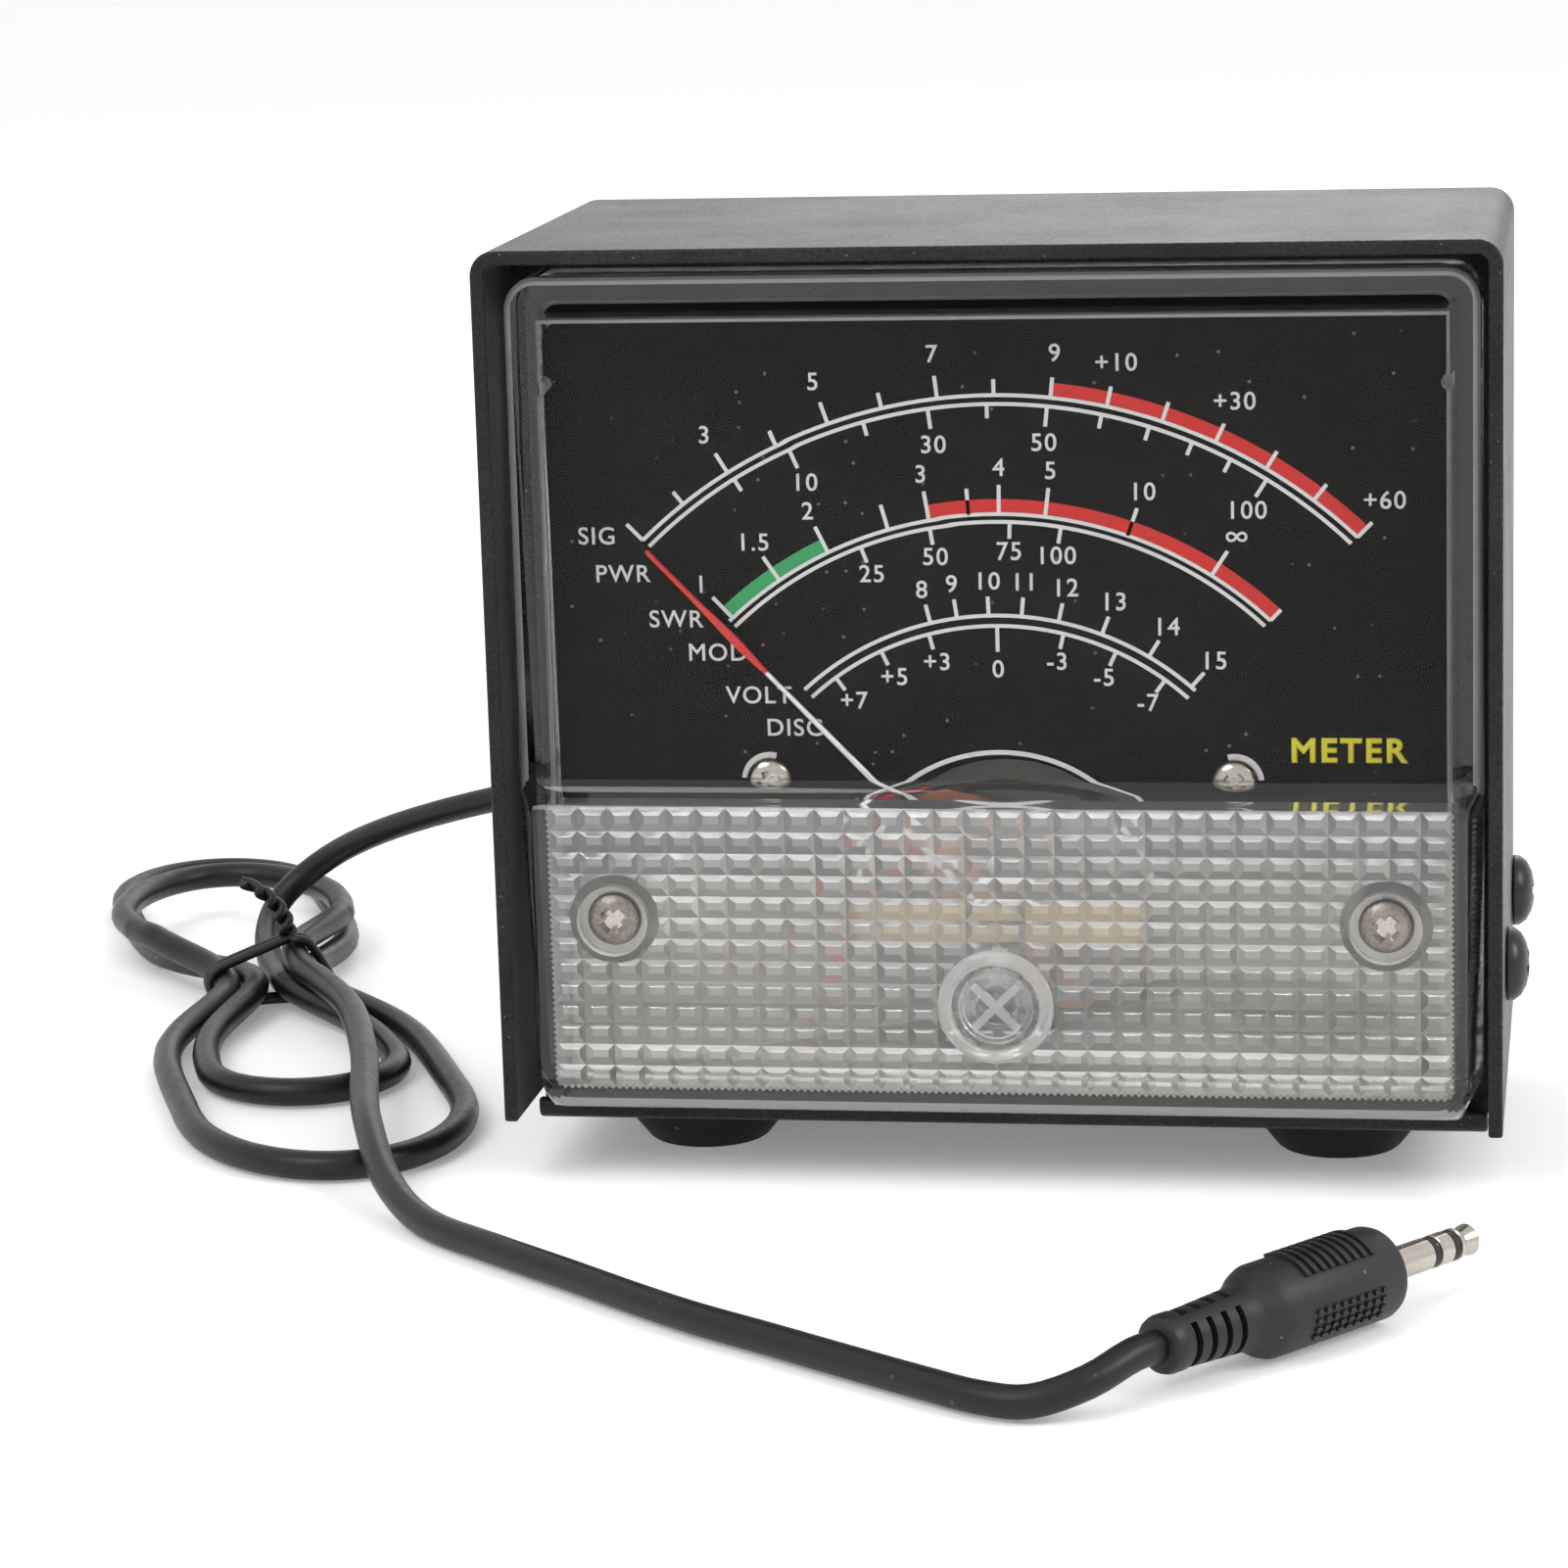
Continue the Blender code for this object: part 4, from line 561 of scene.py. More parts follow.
RED_INK = (0.84, 0.028, 0.020)
RED_INK_WORN = (0.74, 0.022, 0.016)
GREEN_INK = (0.042, 0.46, 0.150)
GREEN_INK_WORN = (0.034, 0.40, 0.125)
YELLOW_INK = (0.95, 0.86, 0.040)
YELLOW_INK_WORN = (0.88, 0.79, 0.034)
INK_GRAIN = {"scale": 1600.0, "rough": 0.50, "spread": 0.10, "bump": 0.05}
SCALE_ARCS = ((0.0571, 0.0581, 44.0), (0.0437, 0.0446, 43.5), (0.0318, 0.0330, 42.5))
SIG_STEP = 6.286
SIG_START = -44.0
SIG_MARKS = 15
SIG_MAJORS = (0, 2, 4, 6)
SIG_RED_FROM = 8
SIG_FOOT = 0.0581
SIG_MAJOR_REACH = 0.0607
SIG_RED_REACH = 0.0604
SIG_REACH = 0.0599
SIG_LABEL_RADIUS = 0.0631
SIG_LABELS = ((2, "3"), (4, "5"), (6, "7"), (8, "9"), (9, "+10"), (11, "+30"), (13.9, "+60"))
PWR_MARKS = ((-24.0, "10"), (-7.5, "30"), (6.0, "50"), (32.1, "100"))
SWR_MARKS = (
    (-42.8, "1"), (-33.7, "1.5"), (-25.3, "2"), (-9.7, "3"), (0.5, "4"),
    (7.2, "5"), (19.4, "10"), (32.8, "∞"),
)
MOD_MARKS = ((-20.5, "25"), (-9.8, "50"), (2.1, "75"), (9.7, "100"))
VOLT_MARKS = (
    (-13.3, "8"), (-7.9, "9"), (-1.6, "10"), (4.9, "11"), (12.2, "12"),
    (21.0, "13"), (31.2, "14"), (41.4, "15"),
)
DISC_MARKS = ((-35.9, "+7"), (-24.8, "+5"), (-14.2, "+3"), (13.7, "-3"), (25.0, "-5"), (36.5, "-7"))
LABELLED_MARKS = (
    (PWR_MARKS, 0.0548, 0.0571, 0.0529),
    (SWR_MARKS, 0.0446, 0.0479, 0.0498),
    (MOD_MARKS, 0.0418, 0.0437, 0.0403),
    (VOLT_MARKS, 0.0330, 0.0352, 0.0369),
    (DISC_MARKS, 0.0300, 0.0318, 0.0284),
    (((0.0, "0"),), 0.0288, 0.0318, 0.0267),
)
PWR_MINORS = (-31.2, -15.0, -0.8, 12.2, 17.7, 22.8, 27.5)
SWR_MINORS = (-15.8, -3.9)
BARE_MARKS = (
    (PWR_MINORS, 0.0555, 0.0571),
    (SWR_MINORS, 0.0446, 0.0476),
    ((SCALE_ARCS[1][2],), 0.0446, 0.0463),
)
RED_BANDS = (
    (0.0583, 0.0598, SIG_START + SIG_STEP * SIG_RED_FROM, 44.0),
    (0.0448, 0.0463, -9.7, 43.5),
)
GREEN_BAND = (0.0448, 0.0463, -42.8, -25.3)
SCALE_WORDS = (
    ("SIG", -0.0457, 0.0422), ("PWR", -0.0429, 0.0378), ("SWR", -0.0369, 0.0325),
    ("MOD", -0.0322, 0.0286), ("VOLT", -0.0276, 0.0236), ("DISC", -0.0236, 0.0198),
)
LABEL_SIZE = 0.00282
LABEL_WEIGHT = 0.00003
LABEL_SPACING = 1.12
TITLE_PLACE = PRINT_CENTRE + Vector((0.0393, 0.0, 0.0173))
TITLE_SIZE = 0.0038
TITLE_WEIGHT = 0.00014
TITLE_SPACING = 1.20
FORWARD = (0.0, -1.0, 0.0)
DIAL_SCREW_X = 0.0266
DIAL_SCREW_Y = -0.01735
DIAL_SCREW_Z = 0.0456
DIAL_SCREW_PROFILE = (
    (0.0, -0.0055), (0.0010, -0.0055), (0.0010, 0.0), (0.0027, 0.0), (0.00275, 0.0003),
    (0.0026, 0.0008), (0.0020, 0.0013), (0.0010, 0.00152), (0.0, 0.00155),
)
DIAL_RECESS = (0.0038, 0.0009, 0.0010)
DIAL_SCREW_TURN = 0.6
DIAL_SCREW_SPLAY = 0.3
NICKEL = (0.56, 0.52, 0.47)
NICKEL_DULL = (0.36, 0.33, 0.29)


def dial_point(radius, degrees, centre=PRINT_CENTRE):
    """A point on the printed face, by its radius and angle about a centre."""
    angle = math.radians(degrees)
    return centre + Vector((radius * math.sin(angle), 0.0, radius * math.cos(angle)))


def sweep(shape, inner, outer, start, stop, centre=PRINT_CENTRE):
    """A strip between two radii from one angle to another."""
    ends = [shape.verts.new(dial_point(radius, start, centre)) for radius in (inner, outer)]
    line = shape.edges.new(ends)
    bmesh.ops.spin(
        shape,
        geom=ends + [line],
        cent=centre,
        axis=(0.0, 1.0, 0.0),
        angle=math.radians(stop - start),
        steps=max(1, round(abs(stop - start) / ARC_STEP)),
    )


def tick(shape, inner, outer, degrees):
    """A straight radial mark of the line's width."""
    aside_of_tick = dial_point(LINE_WIDTH / 2, degrees + 90.0) - PRINT_CENTRE
    low = dial_point(inner, degrees)
    high = dial_point(outer, degrees)
    corners = (low - aside_of_tick, high - aside_of_tick, high + aside_of_tick, low + aside_of_tick)
    shape.faces.new([shape.verts.new(corner) for corner in corners])


def letter(shape, words, middle, size=LABEL_SIZE, weight=LABEL_WEIGHT, spacing=LABEL_SPACING):
    """Words set upright on the printed face, centred on a point."""
    type_curve = bpy.data.curves.new("type", "FONT")
    type_curve.body = words
    type_curve.size = size
    type_curve.space_character = spacing
    type_curve.align_x = "CENTER"
    type_curve.align_y = "CENTER"
    type_curve.extrude = PRINT_THICKNESS / 2
    type_curve.bevel_depth = weight
    type_curve.bevel_resolution = 0
    type_object = bpy.data.objects.new("type", type_curve)
    scene.collection.objects.link(type_object)
    graph = bpy.context.evaluated_depsgraph_get()
    type_mesh = bpy.data.meshes.new_from_object(type_object.evaluated_get(graph))
    type_mesh.transform(Matrix.Translation(middle) @ Matrix.Rotation(math.pi / 2, 4, "X"))
    shape.from_mesh(type_mesh)
    bpy.data.objects.remove(type_object)
    bpy.data.curves.remove(type_curve)
    bpy.data.meshes.remove(type_mesh)


def print_piece(name, shape, ink):
    """Give a print of flat strips its thickness and lay it on the dial."""
    bmesh.ops.remove_doubles(shape, verts=shape.verts, dist=PRINT_WELD)
    bmesh.ops.recalc_face_normals(shape, faces=shape.faces)
    bmesh.ops.solidify(shape, geom=shape.faces[:], thickness=PRINT_THICKNESS)
    bmesh.ops.recalc_face_normals(shape, faces=shape.faces)
    make_piece(name, shape, ink, "dial_black")


dial_black = grained(
    "dial_black", DIAL_COLOUR, DIAL_WORN,
    scale=1400.0, rough=0.42, spread=0.12, bump=0.02, shine=0.08, dust_and_glint=0.5, speck=420.0)
white_ink = grained("white_ink", WHITE_INK, WHITE_INK_WORN, **INK_GRAIN)
red_ink = grained("red_ink", RED_INK, RED_INK_WORN, **INK_GRAIN)
green_ink = grained("green_ink", GREEN_INK, GREEN_INK_WORN, **INK_GRAIN)
yellow_ink = grained("yellow_ink", YELLOW_INK, YELLOW_INK_WORN, **INK_GRAIN)
nodes["dial_plate"].data.materials[0] = dial_black
white = bmesh.new()
white_words = bmesh.new()
for arc_inner, arc_outer, arc_end in SCALE_ARCS:
    for radius in (arc_inner, arc_outer):
        sweep(white, radius - LINE_WIDTH / 2, radius + LINE_WIDTH / 2, -arc_end, arc_end)
for count in range(SIG_MARKS):
    reach = SIG_RED_REACH if count >= SIG_RED_FROM else SIG_REACH
    if count in SIG_MAJORS:
        reach = SIG_MAJOR_REACH
    tick(white, SIG_FOOT, reach, SIG_START + SIG_STEP * count)
for count, words in SIG_LABELS:
    letter(white_words, words, dial_point(SIG_LABEL_RADIUS, SIG_START + SIG_STEP * count))
for marks, inner, outer, label_radius in LABELLED_MARKS:
    for degrees, words in marks:
        tick(white, inner, outer, degrees)
        letter(white_words, words, dial_point(label_radius, degrees))
for angles, inner, outer in BARE_MARKS:
    for degrees in angles:
        tick(white, inner, outer, degrees)
for words, x, z in SCALE_WORDS:
    letter(white_words, words, PRINT_CENTRE + Vector((x, 0.0, z)))
sweep(white, *CUT_RIM, CUT_CENTRE)
for side in (-1, 1):
    hole = Vector((side * DIAL_SCREW_X, PRINT_Y, DIAL_SCREW_Z))
    sweep(white, *HOLE_RIM, side * HOLE_RIM_ENDS[0], side * HOLE_RIM_ENDS[1], hole)
print_piece("dial_print_white", white, white_ink)
make_piece("dial_words_white", white_words, white_ink, "dial_black")
red = bmesh.new()
for band in RED_BANDS:
    sweep(red, *band)
print_piece("dial_print_red", red, red_ink)
green = bmesh.new()
sweep(green, *GREEN_BAND)
print_piece("dial_print_green", green, green_ink)
yellow = bmesh.new()
letter(yellow, "METER", TITLE_PLACE, TITLE_SIZE, TITLE_WEIGHT, TITLE_SPACING)
make_piece("dial_words_yellow", yellow, yellow_ink, "dial_black")
nickel = grained(
    "nickel", NICKEL, NICKEL_DULL, scale=5000.0, rough=0.16, spread=0.14, bump=0.03, metallic=1.0)
for side, hand in ((-1, "left"), (1, "right")):
    pan_screw(
        "pan_screw_" + hand,
        DIAL_SCREW_PROFILE,
        (side * DIAL_SCREW_X, DIAL_SCREW_Y, DIAL_SCREW_Z),
        FORWARD,
        DIAL_SCREW_TURN + side * DIAL_SCREW_SPLAY,
        DIAL_RECESS,
        "nickel",
        "dial_screw_" + hand,
        nickel,
    )

# The pointer is a thin stamped blade on a round hub, bare metal near the hub and painted red beyond.
# It is drawn as two flat outlines at rest, given their sheet and a slight round on the edges.
POINTER_FRONT = -0.0196
POINTER_SHEET = 0.0006
POINTER_REST = math.radians(-43.5)
POINTER_BARE = ((0.00045, 0.0016), (0.00042, 0.0120), (0.00026, 0.0384))
POINTER_RED = (
    (0.00026, 0.0384), (0.00048, 0.0422), (0.00048, 0.0440),
    (0.00028, 0.0500), (0.00025, 0.0574), (0.00012, 0.0578),
)
BARE_ROUND = 0.00018
RED_ROUND = 0.00010
HUB_PROFILE = (
    (0.0009, 0.0), (0.0018, 0.0), (0.0020, 0.0001), (0.0020, 0.0005),
    (0.0018, POINTER_SHEET), (0.0009, POINTER_SHEET), (0.0009, 0.0),
)
BLADE_RED = (0.88, 0.045, 0.035)
BLADE_RED_WORN = (0.78, 0.035, 0.028)


def drawn_out(corners, draw):
    """A closed body from a flat outline, drawn out along a straight line."""
    shape = bmesh.new()
    face = shape.faces.new([shape.verts.new(corner) for corner in corners])
    move_new(shape, bmesh.ops.extrude_face_region(shape, geom=[face]), draw)
    bmesh.ops.recalc_face_normals(shape, faces=shape.faces)
    return shape


def blade(rows):
    """A flat symmetrical outline along the pointer, drawn out to its sheet and turned to rest."""
    outline = [(-half, along_blade) for half, along_blade in rows]
    outline += [(half, along_blade) for half, along_blade in reversed(rows)]
    corners = [(x, POINTER_FRONT, PIVOT.z + z) for x, z in outline]
    shape = drawn_out(corners, (0.0, POINTER_SHEET, 0.0))
    rest_turn = Matrix.Rotation(POINTER_REST, 3, "Y")
    bmesh.ops.rotate(shape, verts=shape.verts, cent=PIVOT, matrix=rest_turn)
    return shape


red_paint = grained(
    "red_paint", BLADE_RED, BLADE_RED_WORN, scale=1500.0, rough=0.35, spread=0.12, bump=0.05)
pointer_root = make_piece(
    "pointer_root", blade(POINTER_BARE), aluminium, "pointer_red", "pointer", body="movement")
round_edges(pointer_root, BARE_ROUND, 3)
pointer_blade = make_piece("pointer_blade", blade(POINTER_RED), red_paint, "pointer_red", body="movement")
round_edges(pointer_blade, RED_ROUND, 2)
turned_piece(
    "pointer_hub",
    HUB_PROFILE,
    (0.0, POINTER_FRONT, PIVOT.z),
    (0.0, 1.0, 0.0),
    40,
    aluminium,
    "pointer_red",
    body="movement",
)

# The window is one clear moulding: a flat pane with a rim, and a proud lower block whose front wall
# has rows of cut-off pyramids pressed into its back, two screw bosses and the adjuster's seat.
WINDOW_HALF = 0.0545
WINDOW_BOTTOM = 0.0084
WINDOW_TOP = 0.1048
WINDOW_FRONT = -0.0250
WINDOW_BACK = -0.0163
BLOCK_FRONT = -0.0275
BLOCK_HALF = 0.0535
BLOCK_BOTTOM = 0.0094
BLOCK_TOP = 0.0444
LEDGE_TOP = 0.0464
WINDOW_CORNER = 0.0037
WINDOW_EDGE = 0.0009
EDGE_ANGLE = math.radians(28.0)
PANE_INNER = -0.0230
WAFFLE_FRONT = -0.0255
ROOM_HALF = 0.0512
ROOM_BACK = -0.0153
ROOM_BOTTOM = 0.0114
ROOM_TOP = 0.1000
ROOM_FILLET = 0.0006
WALL_TILT = 0.1
WAFFLE_TOP = 0.0440
WAFFLE_COLUMNS = 30
WAFFLE_ROWS = 13
WAFFLE_SLOPE = 0.00082
WAFFLE_DEPTH = 0.00055
SIDE_TOOTH = 0.0007
BOTTOM_TOOTH = 0.0008
TOOTH_SHARE = 0.92
PEG_X = 0.0509
PEG_Z = 0.0920
PEG_RADIUS = 0.0009
PEG_SPAN = (-0.0234, -0.0185)
CLEAR = (0.985, 0.99, 0.985)
WHITE_HAZE_AND_PAINTED_LIGHT = (0.93, 0.93, 0.92)
CLEAR_IOR = 1.49
PANE_MIRROR = 0.13
WINDOW_SCREW_X = 0.0440
WINDOW_SCREW_Z = 0.0312
WINDOW_SEAT = -0.0255
WINDOW_BOSS = 0.0052
BOSS_SPAN = (-0.0260, -0.0166)
WINDOW_SINK = 0.0041
SINK_SPAN = (-0.0290, WINDOW_SEAT)
WINDOW_HOLE = 0.0017
HOLE_SPAN = (-0.0260, -0.0150)
ADJUSTER_Z = 0.0217
ADJUSTER_BOSS_PROFILE = (
    (0.0, -0.0252), (0.00665, -0.0252), (0.00665, -0.0276), (0.0065, -0.0279),
    (0.0061, -0.0281), (0.0055, -0.0281), (0.0052, -0.0279), (0.0, -0.0279),
)
ADJUSTER_POCKET = 0.0050
POCKET_SPAN = (-0.0290, -0.0268)
ADJUSTER_HOLE = 0.0027
ADJUSTER_HOLE_SPAN = (-0.0270, -0.0240)
BOSS_STEPS = 48
PEG_STEPS = 20
HOLE_STEPS = 32
ADJUSTER_SEAT_STEPS = 64
ADJUSTER_HOLE_STEPS = 40
WINDOW_CRISP = 24.0
NEAR = 0.00001
LOOK_WAFFLE, LOOK_RIM, LOOK_SLOPE, LOOK_PANE, LOOK_BOSS = range(1, 6)


def rod(shape, radius, span, x, z, steps):
    """A round bar along the depth, added to a shape."""
    front, rear = span
    bar = bmesh.ops.create_cone(
        shape, cap_ends=True, segments=steps, radius1=radius, radius2=radius, depth=abs(rear - front))
    move = Matrix.Translation((x, (front + rear) / 2, z)) @ Matrix.Rotation(math.pi / 2, 4, "X")
    bmesh.ops.transform(shape, verts=bar["verts"], matrix=move)


def faces_facing(shape, axis, value):
    """The faces that lie in one plane square to an axis."""
    return [
        face for face in shape.faces
        if all(abs(corner.co[axis] - value) < NEAR for corner in face.verts)
    ]


def slice_waffle(shape, normal, start, stop, count):
    """Cut the pressed wall into equal strips, by planes from one place to another along their normal."""
    for strip in range(1, count):
        wall = faces_facing(shape, 1, WAFFLE_FRONT)
        lines = {edge for face in wall for edge in face.edges}
        ends = {corner for face in wall for corner in face.verts}
        cut_at = Vector(normal) * (start + (stop - start) * strip / count)
        bmesh.ops.bisect_plane(
            shape, geom=wall + list(lines) + list(ends), plane_co=cut_at, plane_no=normal)


def clear_look(name, colour, transmission, rough_low, rough_high, mirror=1.0):
    """Clear plastic, hazed unevenly and more or less clouded by a share of white diffuse colour, which is
    partly the plastic's own haze and partly painted light.
    """
    material, tree, shader = principled(
        name,
        ("Base Color", (*colour, 1.0)),
        ("Transmission Weight", transmission),
        ("IOR", CLEAR_IOR),
        ("Specular Tint", (mirror, mirror, mirror, 1.0)),
    )
    place = add_node(tree, "ShaderNodeTexCoord")
    wave = add_node(tree, "ShaderNodeTexNoise", (("Scale", 40.0), ("Detail", 2.0)))
    haze = add_node(tree, "ShaderNodeMapRange", (("To Min", rough_low), ("To Max", rough_high)))
    join_nodes(
        tree,
        (place, "Object", wave, "Vector"),
        (wave, "Fac", haze, "Value"),
        (haze, "Result", shader, "Roughness"),
    )
    return material


# The white share in the clouded looks is partly the plastic's own haze and partly painted light: the waffle,
# slopes, rim, bosses and the adjuster's ribs are made paler for the light refracted through the moulding.
clear_plastic = clear_look("clear_plastic", CLEAR, 1.0, 0.0, 0.02)
clear_waffle = clear_look("clear_waffle", WHITE_HAZE_AND_PAINTED_LIGHT, 0.60, 0.03, 0.09)
clear_rim = clear_look("clear_rim", WHITE_HAZE_AND_PAINTED_LIGHT, 0.88, 0.02, 0.08)
clear_slope = clear_look("clear_slope", WHITE_HAZE_AND_PAINTED_LIGHT, 0.70, 0.05, 0.12)
clear_stud = clear_look("clear_stud", CLEAR, 0.93, 0.01, 0.04)
clear_boss = clear_look("clear_boss", WHITE_HAZE_AND_PAINTED_LIGHT, 0.45, 0.05, 0.12)
clear_pane = clear_look("clear_pane", CLEAR, 1.0, 0.0, 0.015, PANE_MIRROR)
outer_side = (
    (WINDOW_BACK, WINDOW_BOTTOM),
    (WINDOW_FRONT, WINDOW_BOTTOM),
    (BLOCK_FRONT, BLOCK_BOTTOM),
    (BLOCK_FRONT, BLOCK_TOP),
    (WINDOW_FRONT, LEDGE_TOP),
    (WINDOW_FRONT, WINDOW_TOP),
    (WINDOW_BACK, WINDOW_TOP),
)
outer = drawn_out([(-WINDOW_HALF, y, z) for y, z in outer_side], (WINDOW_HALF * 2, 0.0, 0.0))
for corner in outer.verts:
    if corner.co.y < BLOCK_FRONT + NEAR:
        corner.co.x = math.copysign(BLOCK_HALF, corner.co.x)
corner_lines = [
    edge for edge in outer.edges
    if abs(edge.verts[0].co.y - edge.verts[1].co.y) > NEAR
    and min(abs(end.co.x) for end in edge.verts) > BLOCK_HALF - NEAR
    and (max(end.co.z for end in edge.verts) < BLOCK_BOTTOM + NEAR
         or min(end.co.z for end in edge.verts) > WINDOW_TOP - NEAR)
]
bevel(outer, corner_lines, WINDOW_CORNER, 8)
bmesh.ops.recalc_face_normals(outer, faces=outer.faces)
sharp_lines = [
    edge for edge in outer.edges
    if len(edge.link_faces) == 2
    and edge.calc_face_angle() > EDGE_ANGLE
    and min(end.co.y for end in edge.verts) < WINDOW_FRONT + NEAR
]
bevel(outer, sharp_lines, WINDOW_EDGE, 3)
bmesh.ops.recalc_face_normals(outer, faces=outer.faces)
for face in outer.faces:
    middle = face.calc_center_median()
    rim_edge = WINDOW_FRONT + NEAR < middle.y < WINDOW_FRONT + WINDOW_EDGE
    block_edge = middle.y < WINDOW_FRONT and middle.z < BLOCK_BOTTOM + WINDOW_EDGE
    if rim_edge or block_edge:
        face.material_index = LOOK_SLOPE
paint(faces_facing(outer, 1, WINDOW_FRONT), LOOK_PANE)
window = make_piece("clear_window", outer, clear_plastic, "clear_plastic", "window_cover")
for look in (clear_waffle, clear_rim, clear_slope, clear_pane, clear_boss):
    window.data.materials.append(look)

room_side = (
    (ROOM_BACK, ROOM_BOTTOM),
    (WAFFLE_FRONT, ROOM_BOTTOM),
    (WAFFLE_FRONT, WAFFLE_TOP),
    (PANE_INNER, WAFFLE_TOP),
    (PANE_INNER, ROOM_TOP),
    (ROOM_BACK, ROOM_TOP),
)
room = drawn_out([(-ROOM_HALF, y, z) for y, z in room_side], (ROOM_HALF * 2, 0.0, 0.0))
slice_waffle(room, (1.0, 0.0, 0.0), -ROOM_HALF, ROOM_HALF, WAFFLE_COLUMNS)
slice_waffle(room, (0.0, 0.0, 1.0), ROOM_BOTTOM, WAFFLE_TOP, WAFFLE_ROWS)
cells = faces_facing(room, 1, WAFFLE_FRONT)
slopes = bmesh.ops.inset_individual(
    room, faces=cells, thickness=WAFFLE_SLOPE, depth=-WAFFLE_DEPTH, use_even_offset=True)["faces"]
paint([face for face in room.faces if abs(face.normal.y) < WALL_TILT], LOOK_RIM)
paint(cells, LOOK_WAFFLE)
paint(faces_facing(room, 2, ROOM_TOP), LOOK_SLOPE)
paint(slopes, LOOK_SLOPE)
paint(faces_facing(room, 1, PANE_INNER), LOOK_PANE)
fillet_lines = [
    edge for edge in room.edges
    if all(abs(end.co.y - PANE_INNER) < NEAR for end in edge.verts)
    and max(end.co.z for end in edge.verts) > WAFFLE_TOP + NEAR
]
bevel(room, fillet_lines, ROOM_FILLET, 2, LOOK_SLOPE)
tooth_turn = Matrix.Rotation(math.pi / 4, 4, "Y")
tooth_depth = PANE_INNER - WAFFLE_FRONT
tooth_middle = (PANE_INNER + WAFFLE_FRONT) / 2
teeth = bmesh.new()
tooth_places = []
for count in range(round((WAFFLE_TOP - ROOM_BOTTOM) / SIDE_TOOTH) - 1):
    for side in (-1, 1):
        tooth_places.append((side * ROOM_HALF, ROOM_BOTTOM + SIDE_TOOTH * (count + 1), SIDE_TOOTH))
for count in range(round(2 * ROOM_HALF / BOTTOM_TOOTH) - 1):
    tooth_places.append((-ROOM_HALF + BOTTOM_TOOTH * (count + 1), ROOM_BOTTOM, BOTTOM_TOOTH))
for x, z, pitch in tooth_places:
    bar = bmesh.ops.create_cube(teeth, size=1.0)["verts"]
    edge_of_tooth = pitch * TOOTH_SHARE / math.sqrt(2)
    shape_of_tooth = Matrix.Diagonal((edge_of_tooth, tooth_depth, edge_of_tooth, 1.0))
    place_of_tooth = Matrix.Translation((x, tooth_middle, z)) @ tooth_turn @ shape_of_tooth
    bmesh.ops.transform(teeth, verts=bar, matrix=place_of_tooth)
paint(teeth.faces, LOOK_SLOPE)
carve(window, room, "DIFFERENCE")
carve(window, teeth, "DIFFERENCE")
bosses = bmesh.new()
for side in (-1, 1):
    rod(bosses, WINDOW_BOSS, BOSS_SPAN, side * WINDOW_SCREW_X, WINDOW_SCREW_Z, BOSS_STEPS)
    rod(bosses, PEG_RADIUS, PEG_SPAN, side * PEG_X, PEG_Z, PEG_STEPS)
paint(bosses.faces, LOOK_BOSS)
carve(window, bosses, "UNION")
adjuster_boss = turned(
    ADJUSTER_BOSS_PROFILE, (0.0, 0.0, ADJUSTER_Z), (0.0, 1.0, 0.0), ADJUSTER_SEAT_STEPS)
paint(adjuster_boss.faces, LOOK_SLOPE)
carve(window, adjuster_boss, "UNION")
sinks = bmesh.new()
for side in (-1, 1):
    rod(sinks, WINDOW_SINK, SINK_SPAN, side * WINDOW_SCREW_X, WINDOW_SCREW_Z, BOSS_STEPS)
    rod(sinks, WINDOW_HOLE, HOLE_SPAN, side * WINDOW_SCREW_X, WINDOW_SCREW_Z, HOLE_STEPS)
rod(sinks, ADJUSTER_POCKET, POCKET_SPAN, 0.0, ADJUSTER_Z, ADJUSTER_SEAT_STEPS)
rod(sinks, ADJUSTER_HOLE, ADJUSTER_HOLE_SPAN, 0.0, ADJUSTER_Z, ADJUSTER_HOLE_STEPS)
paint(sinks.faces, LOOK_BOSS)
paint([face for face in sinks.faces if abs(face.calc_center_median().x) < ADJUSTER_POCKET], LOOK_RIM)
carve(window, sinks, "DIFFERENCE")
soften(window, WINDOW_CRISP)

# The two screws that hold the window are nickel-plated pan heads.
# Their heads carry painted shade in a darker nickel, and their recesses keep bright nickel as a painted
# highlight.
WINDOW_SCREW_PROFILE = (
    (0.0, -0.0170), (0.0014, -0.0170), (0.0014, 0.0), (0.0030, 0.0), (0.0031, 0.0003),
    (0.0029, 0.0009), (0.0022, 0.0014), (0.0010, 0.00165), (0.0, 0.0017),
)
WINDOW_RECESS = (0.0042, 0.0013, 0.0012)
WINDOW_SCREW_GAP = 0.0001
WINDOW_SCREW_TURN = math.pi / 4
WINDOW_SCREW_SPLAY = 0.1
SCREW_PAINTED_SHADE = (0.34, 0.31, 0.28)
SCREW_PAINTED_DEEP_SHADE = (0.17, 0.15, 0.13)
# The darker nickel of the window screws' heads is painted shade, and the bright recess is a painted
# highlight.
painted_shade_nickel = grained(
    "painted_shade_nickel", SCREW_PAINTED_SHADE, SCREW_PAINTED_DEEP_SHADE, scale=2600.0, rough=0.30, spread=0.20, bump=0.12, metallic=1.0)
for side, hand in ((-1, "left"), (1, "right")):
    pan_screw(
        "pane_screw_" + hand,
        WINDOW_SCREW_PROFILE,
        (side * WINDOW_SCREW_X, WINDOW_SEAT - WINDOW_SCREW_GAP, WINDOW_SCREW_Z),
        FORWARD,
        WINDOW_SCREW_TURN + side * WINDOW_SCREW_SPLAY,
        WINDOW_RECESS,
        "nickel",
        "window_screw_" + hand,
        painted_shade_nickel,
        nickel,
    )

